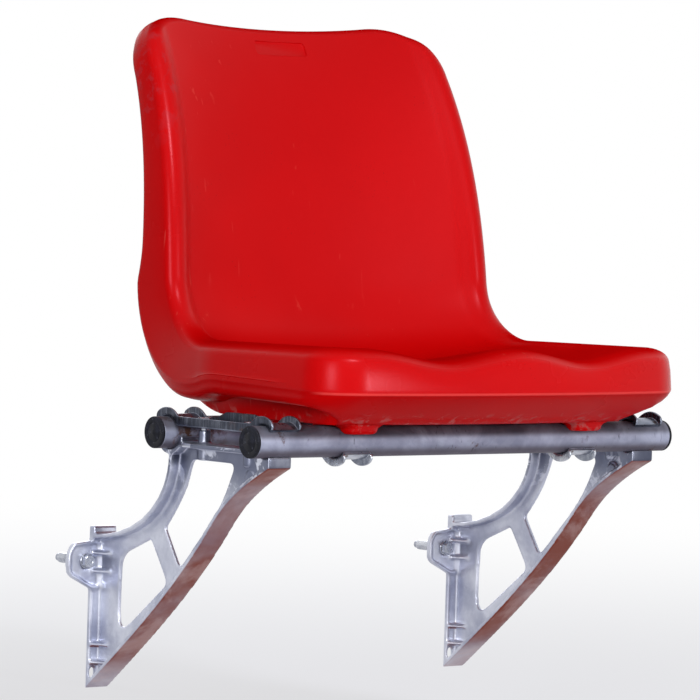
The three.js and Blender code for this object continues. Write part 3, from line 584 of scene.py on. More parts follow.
def seat_skin():
    """The shell with its feet and bosses joined on, and its bores, tube grooves and label place cut."""
    skin = new_object("seat_skin", shell_mesh())
    boss_foot = TUBE_Z - STRAP_FLAT_OFFSET + BOSS_FOOT_GAP
    boss_height = BASE_Z + BOSS_OVERLAP - boss_foot
    for x in (-SEAT_STRAP_X, SEAT_STRAP_X):
        for row in ROWS:
            boolean(skin, shell_foot(x, TUBE_Y[row] - FOOT_FORWARD[row]), "UNION")
            centre = (x, BOLT_Y[row], boss_foot + boss_height / 2)
            boolean(skin, round_bar(BOSS_RADIUS, boss_height, UP, centre, STUD_STEPS), "UNION")
            bore_radius = box_size(f"seat_insert_{row}_left").x / 2 + TOUCH_GAP
            bore_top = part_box(f"seat_insert_{row}_left")[1].z + TOUCH_GAP
            bore_height = bore_top - boss_foot + BORE_OVERCUT
            centre = (x, BOLT_Y[row], bore_top - bore_height / 2)
            boolean(skin, round_bar(bore_radius, bore_height, UP, centre, STUD_STEPS), "DIFFERENCE")
    for row in ROWS:
        groove = round_bar(CRADLE_RADIUS, TUBE_LENGTH, RIGHT, (0, TUBE_Y[row], TUBE_Z))
        boolean(skin, groove, "DIFFERENCE")
    boolean(skin, plate_cutter(), "DIFFERENCE")
    return skin


# Procedural finishes. The colour mix node's sockets share their names with those of its other kinds.
MIX_FIRST = 6
MIX_SECOND = 7
MIX_RESULT = 2


def srgb(*levels):
    """Linear colour from 0 to 255 screen levels."""
    linear = [(v / 255 / 12.92 if v <= 10 else ((v / 255 + 0.055) / 1.055) ** 2.4) for v in levels]
    return (*linear, 1.0)


def feed(tree, node, inputs):
    """Sets a node's inputs by name or number: a socket is linked and a constant is stored."""
    for socket, value in inputs.items():
        if isinstance(value, bpy.types.NodeSocket):
            tree.links.new(value, node.inputs[socket])
        else:
            node.inputs[socket].default_value = value


def add_node(tree, kind, inputs, **settings):
    """Adds a node and gives its outputs."""
    node = tree.nodes.new(kind)
    for setting, value in settings.items():
        setattr(node, setting, value)
    feed(tree, node, inputs)
    return node.outputs


class Finish:
    """A material under construction: its node tree and its surface shader."""

    def __init__(self, name, **sockets):
        self.material = bpy.data.materials.new(name)
        self.material.use_nodes = True
        self.tree = self.material.node_tree
        self.shader = self.tree.nodes["Principled BSDF"]
        self.set_shader({socket.replace("_", " "): value for socket, value in sockets.items()})
        self.coordinates = self.node("ShaderNodeTexCoord", {})["Object"]

    def set_shader(self, inputs):
        feed(self.tree, self.shader, inputs)

    def node(self, kind, inputs, **settings):
        return add_node(self.tree, kind, inputs, **settings)

    def stretched(self, scale):
        return self.node("ShaderNodeMapping", {"Vector": self.coordinates, "Scale": scale})["Vector"]

    def noise(self, scale, detail=4.0, roughness=0.5, distortion=0.0, vector=None):
        inputs = {"Vector": vector or self.coordinates, "Scale": scale, "Detail": detail,
                  "Roughness": roughness, "Distortion": distortion}
        return self.node("ShaderNodeTexNoise", inputs)["Fac"]

    def cells(self, scale, output):
        return self.node("ShaderNodeTexVoronoi", {"Vector": self.coordinates, "Scale": scale})[output]

    def between(self, value, low, high, to_low=0.0, to_high=1.0):
        """Takes the stretch from low to high onto another, held at its ends."""
        inputs = {"Value": value, "From Min": low, "From Max": high, "To Min": to_low, "To Max": to_high}
        return self.node("ShaderNodeMapRange", inputs, interpolation_type="SMOOTHSTEP")["Result"]

    def either_side(self, value, low, high, to_low=0.0, to_high=1.0):
        """Like between, for a value's size without its sign."""
        return self.between(self.product(value, value), low**2, high**2, to_low, to_high)

    def product(self, first, *others):
        for other in others:
            first = self.node("ShaderNodeMath", {0: first, 1: other}, operation="MULTIPLY")[0]
        return first

    def total(self, first, second):
        return self.node("ShaderNodeMath", {0: first, 1: second}, operation="ADD")[0]

    def blend(self, share, first, second):
        """A colour between two, each a socket or a fixed colour."""
        inputs = {"Factor": share, MIX_FIRST: first, MIX_SECOND: second}
        return self.node("ShaderNodeMix", inputs, data_type="RGBA")[MIX_RESULT]

    def along(self, direction):
        """How far a place lies along a direction."""
        inputs = {0: self.coordinates, 1: direction}
        return self.node("ShaderNodeVectorMath", inputs, operation="DOT_PRODUCT")["Value"]

    def distance(self):
        """How far a place lies from the origin."""
        return self.node("ShaderNodeVectorMath", {0: self.coordinates}, operation="LENGTH")["Value"]

    def place(self, axis):
        return self.node("ShaderNodeSeparateXYZ", {"Vector": self.coordinates})[axis]

    def facing(self, axis):
        """How far the surface faces +X, +Y or +Z."""
        normal = self.node("ShaderNodeNewGeometry", {})["Normal"]
        return self.node("ShaderNodeSeparateXYZ", {"Vector": normal})[axis]

    def bump(self, height, distance, strength, under=None):
        inputs = {"Height": height, "Distance": distance, "Strength": strength}
        if under is not None:
            inputs["Normal"] = under
        return self.node("ShaderNodeBump", inputs)["Normal"]

    def done(self, colour, roughness, normal):
        self.set_shader({"Base Color": colour, "Roughness": roughness, "Normal": normal})
        return self.material


# Colours of the shell
DEEP_RED = srgb(196, 3, 5)
FRESH_RED = srgb(206, 6, 8)
SCRATCHED_RED = srgb(222, 78, 70)
SPECKLED_RED = srgb(150, 12, 14)
DUSTY_RED = srgb(150, 70, 82)
CHALKY_RED = srgb(196, 84, 80)
# pale red of the painted highlight along the front ridge
RIDGE_HIGHLIGHT_RED = srgb(244, 74, 70)
RED_SHEEN = (1.0, 0.42, 0.52, 1.0)

# Where the shell is worn, and where a painted highlight runs along the front ridge: each mask starts at the
# first place and is full at the second
WING_DUST_X = (-0.165, -0.185)
WING_DUST_Z = (0.40, 0.50)
CHALK_Z = (0.172, 0.160)
RIDGE_HIGHLIGHT_UPPER = (FRONT_RIDGE_Z + 0.0030, FRONT_RIDGE_Z + 0.0016)
RIDGE_HIGHLIGHT_LOWER = (FRONT_RIDGE_Z - 0.0006, FRONT_RIDGE_Z + 0.0004)
RUBBED_X = (0.203, 0.183)
RUBBED_Y = (-0.24, -0.18)


def red_plastic():
    """Moulded red plastic with orange peel, scratches and specks, dull where it faces up or down.

    The left wing is dusty, the low edge chalky, the front ridge lit by a painted highlight line and the back
    rubbed dull.
    """
    f = Finish("red_plastic", Specular_Tint=RED_SHEEN)
    colour = f.blend(f.between(f.noise(3.0, 3, 0.5), 0.35, 0.65), DEEP_RED, FRESH_RED)
    lines = f.between(f.noise(150, 2, 0.5, 0.2, f.stretched((1.0, 1.0, 0.06))), 0.68, 0.72, 0.0, 0.35)
    scratches = f.product(lines, f.between(f.noise(9, 3), 0.52, 0.66))
    colour = f.blend(scratches, colour, SCRATCHED_RED)
    specks = f.product(f.between(f.cells(210, "Distance"), 0.07, 0.12, 1.0, 0.0),
                       f.between(f.noise(14, 2), 0.56, 0.66))
    colour = f.blend(specks, colour, SPECKLED_RED)
    dust = f.product(f.between(f.place("X"), *WING_DUST_X, 0.0, 0.25), f.between(f.place("Z"), *WING_DUST_Z),
                     f.between(f.noise(60, 6, 0.65, 0.5), 0.50, 0.62))
    colour = f.blend(dust, colour, DUSTY_RED)
    chalk = f.product(f.between(f.place("Z"), *CHALK_Z), f.between(f.noise(70, 5, 0.6, 0.8), 0.53, 0.66))
    colour = f.blend(chalk, colour, CHALKY_RED)
    # painted highlight: a pale line along the front ridge where it faces forward
    ridge = f.product(f.between(f.place("Z"), *RIDGE_HIGHLIGHT_UPPER), f.between(f.place("Z"), *RIDGE_HIGHLIGHT_LOWER),
                      f.between(f.facing("Y"), -0.20, -0.55, 0.0, 0.75))
    colour = f.blend(ridge, colour, RIDGE_HIGHLIGHT_RED)
    haze = f.between(f.noise(5, 5, 0.6), 0.35, 0.7, 0.24, 0.31)
    upward = f.between(f.facing("Z"), 0.6, 0.97, 0.0, 0.35)
    rubbed = f.product(f.between(f.place("Y"), *RUBBED_Y), f.either_side(f.place("X"), *RUBBED_X))
    roughness = f.total(haze, f.total(upward, f.between(rubbed, 0.0, 1.0, 0.0, 0.24)))
    gloss = f.product(f.between(f.facing("Z"), -0.15, -0.55, 1.0, 0.05),
                      f.between(f.facing("Z"), 0.6, 0.95, 0.2, 0.0),
                      f.either_side(f.facing("X"), 0.632, 0.949, 1.0, 0.45))
    f.set_shader({"Specular IOR Level": gloss})
    peel = f.bump(f.noise(420, 3, 0.5), 0.00010, 0.5)
    return f.done(colour, roughness, f.bump(scratches, 0.00008, 0.6, peel))


# Colours of the tubes
ZINC_GREY = srgb(136, 140, 160)
ZINC_PALE = srgb(168, 172, 193)
ZINC_SPANGLE = srgb(180, 184, 200)
ZINC_SCRATCH = srgb(62, 58, 66)
ZINC_UNDERSIDE_SHADE = srgb(80, 70, 78)
ZINC_STAIN = srgb(92, 60, 46)
ZINC_SEAT_SHADOW = srgb(52, 48, 56)

# How far to each side the painted shadow of the shell reaches on the tubes, and over how much noise a stain
# sets in
SEAT_SHADOW_X = (0.2, 0.1612)
STAIN_STEP = 0.10


def galvanised_steel(name, stain_from):
    """Weathered zinc: spangle, blotches, fine scratches and brown stains, with painted shade below and under
    the seat.
    """
    f = Finish(name, Metallic=0.3, Specular_IOR_Level=0.25)
    blotch = f.noise(22, 5, 0.6, 0.6)
    colour = f.blend(f.between(blotch, 0.35, 0.68), ZINC_GREY, ZINC_PALE)
    spangle = f.product(f.between(f.cells(130, "Color"), 0.2, 0.8), f.between(blotch, 0.2, 0.8, 0.05, 0.3))
    colour = f.blend(spangle, colour, ZINC_SPANGLE)
    lines = f.between(f.noise(260, 4, 0.6, 0.3, f.stretched((0.10, 1.0, 1.0))), 0.62, 0.68)
    colour = f.blend(f.product(lines, f.between(f.noise(11, 3), 0.40, 0.62)), colour, ZINC_SCRATCH)
    # painted shade: darker towards the bottom of the tube
    colour = f.blend(f.between(f.facing("Z"), -0.20, -0.75, 0.0, 0.85), colour, ZINC_UNDERSIDE_SHADE)
    stain = f.product(f.between(f.noise(34, 6, 0.65), stain_from, stain_from + STAIN_STEP),
                      f.between(f.noise(7, 2), 0.40, 0.58))
    colour = f.blend(stain, colour, ZINC_STAIN)
    # painted shadow of the seat shell on the tops of the tubes
    seat_shadow = f.product(f.either_side(f.place("X"), *SEAT_SHADOW_X), f.between(blotch, 0.2, 0.8, 0.9, 0.6),
                          f.between(f.facing("Z"), 0.05, 0.48))
    colour = f.blend(seat_shadow, colour, ZINC_SEAT_SHADOW)
    streaks = f.noise(60, 4, 0.5, 0, f.stretched((0.15, 1.0, 1.0)))
    roughness = f.between(f.total(streaks, stain), 0.3, 1.2, 0.50, 0.78)
    normal = f.bump(f.noise(150, 4, 0.6), 0.0003, 0.5, f.bump(blotch, 0.0008, 0.35))
    return f.done(colour, roughness, normal)


# Colours of the castings
CAST_GREY = srgb(172, 176, 195)
CAST_PALE = srgb(215, 218, 230)
CAST_RUBBED = srgb(218, 222, 232)
CAST_PATCH_AND_SHADE = srgb(74, 80, 104)
CAST_BROWN_REFLECTION = srgb(128, 58, 43)
CAST_SCUFF = srgb(196, 168, 166)
CAST_ARM_END = srgb(70, 74, 92)

# A slanted direction that parts the lower flange of a bracket from its upper arm, and the heights of the
# patches on the web, which become painted shade near the top, of the painted brown reflection, which
# thins towards the tip, and of the arm's end
FLANGE_ACROSS = (0, 0.73, 1)
FLANGE_EDGE = (-0.080, -0.095)
WEB_SHADE_Z = (0.060, 0.115)
BROWN_REFLECTION_Z = (-0.128, -0.088)
ARM_END_Z = (0.105, 0.115)


def cast_aluminium():
    """Die-cast aluminium: rubbed flakes, dark patches with painted shade, a dark arm end and a scuffed lower
    flange with painted brown reflection.
    """
    f = Finish("cast_aluminium", Metallic=0.85)
    cloud = f.noise(16, 5, 0.6, 0.4)
    colour = f.blend(f.between(cloud, 0.33, 0.68), CAST_GREY, CAST_PALE)
    flakes = f.product(f.between(f.noise(75, 6, 0.7), 0.55, 0.72), f.between(cloud, 0.3, 0.7, 0.2, 0.7))
    colour = f.blend(flakes, colour, CAST_RUBBED)
    # dark patches on the web, plus painted shade that grows towards the top of the web
    patches_and_shade = f.product(f.between(f.noise(26, 6, 0.6, 1.2), 0.43, 0.49), f.between(f.facing("X"), -0.6, -0.9),
                        f.between(f.place("Z"), *WEB_SHADE_Z, 0.06, 0.8))
    colour = f.blend(patches_and_shade, colour, CAST_PATCH_AND_SHADE)
    below = f.product(f.between(f.facing("Z"), -0.20, -0.55), f.between(f.facing("Y"), -0.10, -0.35),
                      f.between(f.along(FLANGE_ACROSS), *FLANGE_EDGE))
    # painted brown reflection on the underside of the lower flange
    brown_reflection = f.product(below, f.between(f.place("Z"), *BROWN_REFLECTION_Z, 0.35, 1.0),
                     f.between(f.noise(11, 4, 0.6), 0.3, 0.6, 0.70, 1.0))
    colour = f.blend(brown_reflection, colour, CAST_BROWN_REFLECTION)
    scuffs = f.product(below, f.between(f.noise(15, 6, 0.62, 0.5), 0.50, 0.64, 0.0, 0.4))
    colour = f.blend(scuffs, colour, CAST_SCUFF)
    arm_end = f.product(f.between(f.facing("Y"), -0.75, -0.92), f.between(f.place("Z"), *ARM_END_Z),
                        f.between(cloud, 0.3, 0.7, 0.95, 0.7))
    colour = f.blend(arm_end, colour, CAST_ARM_END)
    roughness = f.between(f.noise(42, 5, 0.6), 0.3, 0.7, 0.28, 0.46)
    normal = f.bump(f.noise(520, 3, 0.6), 0.00012, 0.5, f.bump(f.noise(55, 4), 0.0005, 0.35))
    return f.done(colour, roughness, normal)


# Colours of plated pieces, caps and inserts
FASTENER_DARK = srgb(160, 164, 176)
FASTENER_LIGHT = srgb(218, 221, 228)
FASTENER_STAIN = srgb(78, 66, 64)
PRESSING_WALL_REFLECTION = srgb(50, 53, 64)
PRESSING_STAIN = srgb(84, 62, 54)
CAP_BLACK = srgb(15, 16, 24)
CAP_DUST = srgb(40, 42, 54)
CAP_SCUFF = srgb(84, 86, 98)
BRASS_DARK = srgb(164, 128, 62)
BRASS_LIGHT = srgb(198, 162, 88)


def plated_finish(name, dark, light):
    """A start for zinc plating: the finish, its clouded colour and its stains' share."""
    f = Finish(name, Metallic=0.92)
    colour = f.blend(f.between(f.noise(45, 5, 0.6, 0.5), 0.35, 0.68), dark, light)
    stain = f.product(f.between(f.noise(80, 5, 0.65), 0.56, 0.68), f.between(f.noise(12, 2), 0.42, 0.58))
    return f, colour, stain


def fastener_zinc():
    """Bright zinc plating with stains."""
    f, colour, stain = plated_finish("fastener_zinc", FASTENER_DARK, FASTENER_LIGHT)
    roughness = f.between(f.noise(120, 4, 0.6), 0.3, 0.7, 0.18, 0.34)
    return f.done(f.blend(stain, colour, FASTENER_STAIN), roughness, f.bump(f.noise(260, 3), 0.00012, 0.5))


def pressed_zinc(name, dark, light, wall_reflection_share, rib_depth):
    """Zinc-plated pressing. Its walls that face left have plain upright ribs and a painted dark reflection.
    """
    f, colour, stain = plated_finish(name, dark, light)
    wall = f.between(f.facing("X"), -0.80, -0.95)
    ribs = f.between(f.noise(300, 2, 0.5, 0, f.stretched((0.02, 1.0, 0.02))), 0.40, 0.60)
    # painted dark reflection on the walls that face left, broken up by the ribs
    colour = f.blend(f.product(wall, f.between(ribs, 0, 1, *wall_reflection_share)), colour, PRESSING_WALL_REFLECTION)
    colour = f.blend(stain, colour, PRESSING_STAIN)
    roughness = f.between(f.noise(120, 4, 0.6), 0.3, 0.7, 0.24, 0.40)
    grain = f.bump(f.noise(260, 3), 0.00012, 0.5)
    return f.done(colour, roughness, f.bump(f.product(wall, ribs), rib_depth, 0.6, grain))


def cap_plastic():
    """Dull dark plastic of the tube caps, dusty and scuffed."""
    f = Finish("cap_plastic", Specular_IOR_Level=0.2)
    colour = f.blend(f.between(f.noise(90, 5, 0.65), 0.45, 0.75), CAP_BLACK, CAP_DUST)
    colour = f.blend(f.between(f.noise(260, 4, 0.7), 0.6, 0.72), colour, CAP_SCUFF)
    roughness = f.between(f.noise(70, 4), 0.3, 0.7, 0.52, 0.72)
    return f.done(colour, roughness, f.bump(f.noise(330, 4, 0.6), 0.0002, 0.6))


def insert_brass():
    """Plain brass of the threaded inserts."""
    f = Finish("insert_brass", Metallic=1.0)
    colour = f.blend(f.between(f.noise(120, 4), 0.35, 0.65), BRASS_DARK, BRASS_LIGHT)
    roughness = f.between(f.noise(200, 3), 0.3, 0.7, 0.25, 0.42)
    return f.done(colour, roughness, f.bump(f.noise(400, 3), 0.00008, 0.5))


RED = red_plastic()
ZINC = {"front": galvanised_steel("front_zinc", 0.60), "rear": galvanised_steel("rear_zinc", 0.52)}
CAST = cast_aluminium()
# the bracket straps' dark zinc colours stand for a painted dark reflection
BRACKET_STRAP = pressed_zinc("ribbed_zinc", srgb(84, 90, 106), srgb(150, 156, 172), (0.62, 0.92), 0.0002)
SEAT_STRAP = pressed_zinc("pressed_zinc", srgb(140, 145, 158), srgb(206, 210, 218), (0.1, 0.2), 0.0001)
FASTENER = fastener_zinc()
CAP = cap_plastic()
BRASS = insert_brass()

# Tubes
TUBE_WALL = 0.0026
TUBE_EDGE_ROUND = 0.0005
TUBE_STATIONS = 40

# Caps: a plug in the tube, a lip over its end, and a round groove and a nub on the face
CAP_LIP = 0.003
CAP_LIP_ROUND = 0.0012
CAP_BACK_ROUND = 0.0004
CAP_PLUG_LENGTH = 0.014
CAP_PLUG_WALL = 0.003
CAP_PLUG_CHAMFER = 0.0006
CAP_FACE_BACK = 0.0005
CAP_GROOVE_RADIUS = 0.0098
CAP_GROOVE_WIDTH = 0.0012
CAP_GROOVE_DEPTH = 0.0005
CAP_GROOVE_EDGE = 0.0003
CAP_GROOVE_EDGE_DEPTH = 0.0002
CAP_NUB_RADIUS = 0.0026
CAP_NUB_HEIGHT = 0.0008
CAP_NUB_FOOT = 0.0004
CAP_NUB_FOOT_HEIGHT = 0.0003
CAP_NUB_TOP_SHARE = 0.8


def tube_pipe(row):
    half = TUBE_LENGTH / 2
    bore = TUBE_RADIUS - TUBE_WALL
    e = TUBE_EDGE_ROUND
    outline = [(bore + e, -half), (TUBE_RADIUS - e, -half)]
    outline += [(TUBE_RADIUS, x) for x in np.linspace(-half + e, half - e, TUBE_STATIONS)]
    outline += [(TUBE_RADIUS - e, half), (bore + e, half), (bore, half - e), (bore, -half + e)]
    pipe = ringed_object(f"{row}_pipe", lathe_rings(outline), capped=False)
    stand(pipe, (0, TUBE_Y[row], TUBE_Z), RIGHT)
    finish_piece(pipe, ZINC[row], f"{row}_tube")


def arc(centre_r, centre_h, radius, start, end, steps):
    """Points (radius, height) of a round stretch in an outline, from one angle to another."""
    turns = [math.radians(mix(start, end, i / steps)) for i in range(steps + 1)]
    return [(centre_r + radius * math.cos(t), centre_h + radius * math.sin(t)) for t in turns]


def cap_outline():
    """Half section of a cap, from the back of its face round the plug and the lip to the nub."""
    bore = TUBE_RADIUS - TUBE_WALL - TOUCH_GAP
    inside = bore - CAP_PLUG_WALL
    outline = [(NEAR_AXIS, -CAP_FACE_BACK), (inside, -CAP_FACE_BACK), (inside, -CAP_PLUG_LENGTH)]
    outline += [(bore - CAP_PLUG_CHAMFER, -CAP_PLUG_LENGTH), (bore, -CAP_PLUG_LENGTH + CAP_PLUG_CHAMFER)]
    outline += [(bore, 0), (TUBE_RADIUS - CAP_BACK_ROUND, 0)]
    outline += arc(TUBE_RADIUS - CAP_BACK_ROUND, CAP_BACK_ROUND, CAP_BACK_ROUND, -90, 0, steps=3)
    outline += arc(TUBE_RADIUS - CAP_LIP_ROUND, CAP_LIP - CAP_LIP_ROUND, CAP_LIP_ROUND, 0, 90, steps=5)
    half = CAP_GROOVE_WIDTH / 2
    groove = [(half + CAP_GROOVE_EDGE, 0), (half, CAP_GROOVE_EDGE_DEPTH), (half / 2, CAP_GROOVE_DEPTH)]
    groove += [(-across, depth) for across, depth in groove[::-1]]
    outline += [(CAP_GROOVE_RADIUS + across, CAP_LIP - depth) for across, depth in groove]
    nub_top = CAP_LIP + CAP_NUB_HEIGHT
    outline += [(CAP_NUB_RADIUS + CAP_NUB_FOOT, CAP_LIP), (CAP_NUB_RADIUS, CAP_LIP + CAP_NUB_FOOT_HEIGHT)]
    return outline + [(CAP_NUB_RADIUS * CAP_NUB_TOP_SHARE, nub_top), (NEAR_AXIS, nub_top)]


def cap_body(row, side_name):
    side = SIDES[side_name]
    cap = ringed_object(f"{row}_end_plug_{side_name}", lathe_rings(cap_outline()))
    stand(cap, (side * (TUBE_LENGTH / 2 + TOUCH_GAP), TUBE_Y[row], TUBE_Z), (side, 0, 0))
    finish_piece(cap, CAP, f"{row}_cap_{side_name}", angle=50)


# Clamp straps, which wrap round both tubes and lie flat between them
STRAP_SHEET = 0.0025
STRAP_FOLD = 0.0035
STRAP_EDGE = 0.0005
STRAP_LEAST_WALL = 0.0003
STRAP_WALL_TOP = 0.017
STRAP_CROWN = 0.0065
STRAP_WRAP = math.radians(50)
STRAP_HOLE_RADIUS = 0.0043
STRAP_HOLE_CUT = 0.05
BASE_FILLET = 0.008
CROWN_FILLET = 0.006
END_ROUND = 0.006
HUMP_HEIGHT = 0.0062
HUMP_HALF_FLAT = 0.022
HUMP_HALF_FOOT = 0.044
WRAP_STEPS = 25
FILLET_STEPS = 7
FLAT_STEPS = 21
FOLD_STEPS = 6
HOLE_STEPS = 32


def clamp_line(radius, flat, fillet):
    """One strap line from outside the rear tube to outside the front tube, round both tubes."""
    lean = math.acos((flat + fillet) / (radius + fillet))
    fillet_y = math.sin(lean) * (radius + fillet)
    half_gap = (TUBE_Y["rear"] - TUBE_Y["front"]) / 2
    turns = np.linspace(-STRAP_WRAP, lean, WRAP_STEPS)
    half = [(radius * math.sin(t), radius * math.cos(t)) for t in turns]
    for t in np.linspace(lean, 0, FILLET_STEPS)[1:]:
        half.append((fillet_y - fillet * math.sin(t), flat + fillet - fillet * math.cos(t)))
    half += [(y, flat) for y in np.linspace(fillet_y, half_gap, FLAT_STEPS)[1:]]
    rear = [(TUBE_Y["rear"] - y, z) for y, z in half]
    front = [(TUBE_Y["front"] + y, z) for y, z in half[-2::-1]]
    return np.array(rear + front)


def strap_half(height, half_width):
    """The right half of a strap's U section as (x, height): up its inside, then down its outside."""
    fold_x = half_width - STRAP_FOLD
    inner = STRAP_FOLD - STRAP_SHEET
    wall_x = half_width - STRAP_SHEET
    turns = np.linspace(0, math.pi / 2, FOLD_STEPS)
    inside = [(fold_x + inner * math.cos(t), STRAP_FOLD - inner * math.sin(t)) for t in turns]
    outside = [(fold_x + STRAP_FOLD * math.cos(t), STRAP_FOLD - STRAP_FOLD * math.sin(t)) for t in turns]
    top = [(wall_x, height - STRAP_EDGE), (wall_x + STRAP_EDGE, height)]
    top += [(half_width - STRAP_EDGE, height), (half_width, height - STRAP_EDGE)]
    return inside[::-1] + top + outside


def strap_ring(point, direction, left_height, right_height, half_width):
    """The closed section of the strap at one place: point and direction lie in the YZ plane."""
    least = STRAP_FOLD + STRAP_LEAST_WALL
    right = strap_half(max(right_height, least), half_width)
    left = strap_half(max(left_height, least), half_width)
    section = right + [(-x, height) for x, height in left[::-1]]
    return [(x, point[0] + direction[0] * height, point[1] + direction[1] * height) for x, height in section]


def strap_body(node, under):
    """A pressed strap with folded long sides, plain under the tubes and humped at its right over them."""
    half_width = box_size(node).x / 2
    base = clamp_line(CRADLE_RADIUS, STRAP_FLAT_OFFSET, BASE_FILLET)
    crown = clamp_line(CRADLE_RADIUS + STRAP_SHEET + STRAP_CROWN, STRAP_WALL_TOP, CROWN_FILLET)
    middle_y = (TUBE_Y["rear"] + TUBE_Y["front"]) / 2
    run = np.concatenate([[0], np.cumsum(np.hypot(*np.diff(base, axis=0).T))])
    rings = []
    for low, high, to_end in zip(base, crown, np.minimum(run, run[-1] - run)):
        span = math.hypot(*(high - low))
        short = END_ROUND - min(to_end, END_ROUND)
        height = span - (END_ROUND - math.sqrt(END_ROUND**2 - short**2))
        slope = (HUMP_HALF_FOOT - abs(low[0] - middle_y)) / (HUMP_HALF_FOOT - HUMP_HALF_FLAT)
        hump = 0 if under else HUMP_HEIGHT * float(ease(slope))
        rings.append(strap_ring(low, (high - low) / span, height, height + hump, half_width))
    strap = ringed_object(node.replace("strap", "clamp"), rings)
    for row in ROWS:
        place = (0, BOLT_Y[row], STRAP_FLAT_OFFSET)
        boolean(strap, round_bar(STRAP_HOLE_RADIUS, STRAP_HOLE_CUT, UP, place, HOLE_STEPS), "DIFFERENCE")
    turn = Matrix.Rotation(math.pi, 4, "Y") if under else Matrix.Identity(4)
    strap.matrix_world = Matrix.Translation((box_centre(node).x, 0, TUBE_Z)) @ turn
    finish_piece(strap, SEAT_STRAP if under else BRACKET_STRAP, node, angle=40)


# Fasteners. The head's chamfer falls away outside its round, and its middle is dished.
HEAD_FLATS = 0.013
HEAD_HEIGHT = 0.0053
HEAD_UNDER_CHAMFER = 0.0003
HEAD_CHAMFER_RADIUS = 0.0062
HEAD_CHAMFER_SLOPE = 0.55
HEAD_CHAMFER_EDGE = 0.0002
HEAD_DISH_SHARES = (0.55, 0.50)
HEAD_DISH_DEPTH = 0.0003
SHANK_RADIUS = 0.004
SHANK_CHAMFER = 0.0006
HEX_STEPS = 72
WASHER_EDGE_ROUND = 0.0003
WASHER_STEPS = 64


def along_axis(node, axis):
    """A node's extent along an axis and its centre line's place."""
    axis = Vector(axis)
    low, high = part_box(node)
    a, b = sorted((low.dot(axis), high.dot(axis)))
    centre = box_centre(node)
    return a, b, centre - axis * centre.dot(axis)


def hex_radius(turn):
    sector = math.pi / 3
    return HEAD_FLATS / 2 / math.cos((turn + sector / 2) % sector - sector / 2)


def hex_ring(height_at):
    """A hexagon's ring whose height depends on its radius."""
    ring = []
    for turn in np.linspace(0, 2 * math.pi, HEX_STEPS, endpoint=False):
        radius = hex_radius(turn)
        ring.append((radius * math.cos(turn), radius * math.sin(turn), height_at(radius)))
    return ring


def bolt_body(node, axis):
    """A hexagon bolt with a chamfered head and a round shank."""
    tail, tip, line = along_axis(node, axis)
    length = tip - tail
    neck = length - HEAD_HEIGHT
    chamfer = HEAD_CHAMFER_RADIUS
    outer_dish, inner_dish = (chamfer * share for share in HEAD_DISH_SHARES)
    dish_floor = length - HEAD_DISH_DEPTH
    shank = [(NEAR_AXIS, 0), (SHANK_RADIUS - SHANK_CHAMFER, 0), (SHANK_RADIUS, SHANK_CHAMFER)]
    shank += [(SHANK_RADIUS, neck), (chamfer, neck)]
    face = [(chamfer - HEAD_CHAMFER_EDGE, length), (outer_dish, length)]
    face += [(inner_dish, dish_floor), (NEAR_AXIS, dish_floor)]
    rings = lathe_rings(shank, HEX_STEPS)
    rings.append(hex_ring(lambda r: neck + HEAD_UNDER_CHAMFER))
    rings.append(hex_ring(lambda r: length - max(r - chamfer, 0) * HEAD_CHAMFER_SLOPE - HEAD_CHAMFER_EDGE))
    rings += lathe_rings(face, HEX_STEPS)
    bolt = ringed_object(node.replace("bolt", "screw"), rings)
    stand(bolt, line + Vector(axis) * tail, axis)
    finish_piece(bolt, FASTENER, node, angle=25)


def washer_body(node, axis):
    """A flat washer with rounded edges."""
    low, high, line = along_axis(node, axis)
    outer = max(box_size(node)) / 2
    inner = SHANK_RADIUS + TOUCH_GAP
    thick = high - low
    e = WASHER_EDGE_ROUND
    outline = [(inner + e, 0), (outer - e, 0), (outer, e), (outer, thick - e), (outer - e, thick)]
    outline += [(inner + e, thick), (inner, thick - e), (inner, e)]
    washer = ringed_object(node.replace("washer", "disc"), lathe_rings(outline, WASHER_STEPS), capped=False)
    stand(washer, line + Vector(axis) * low, axis)
    finish_piece(washer, FASTENER, node, angle=30)


# Cast brackets keep their CAD meshes; a fine remesh rounds their edges as casting does
CAST_VOXEL = 0.0013
CAST_ROUNDING = 0.5
CAST_ROUNDING_STEPS = 5


def soften_casting(node):
    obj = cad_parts[node]
    remesh = obj.modifiers.new("cast_skin", "REMESH")
    remesh.mode = "VOXEL"
    remesh.voxel_size = CAST_VOXEL
    remesh.use_smooth_shade = True
    relax = obj.modifiers.new("cast_rounding", "CORRECTIVE_SMOOTH")
    relax.use_only_smooth = True
    relax.factor = CAST_ROUNDING
    relax.iterations = CAST_ROUNDING_STEPS
    coat(obj, CAST)


# Assembly
finish_piece(seat_skin(), RED, "seat_shell", angle=40)
for row in ROWS:
    tube_pipe(row)
    for side_name in SIDES:
        cap_body(row, side_name)

for side_name in SIDES:
    soften_casting(f"bracket_{side_name}")
    strap_body(f"bracket_strap_{side_name}", under=False)
    strap_body(f"seat_strap_{side_name}", under=True)
    for row in ROWS:
        tag = f"{row}_{side_name}"
        for kind, axis in (("bracket", UP), ("seat", DOWN)):
            bolt_body(f"{kind}_bolt_{tag}", axis)
            washer_body(f"{kind}_washer_{tag}", axis)
        coat(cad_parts[f"seat_insert_{tag}"], BRASS)
    bolt_body(f"anchor_bolt_{side_name}", OUT)
    washer_body(f"anchor_washer_{side_name}", OUT)
    coat(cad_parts[f"anchor_sleeve_{side_name}"], FASTENER)

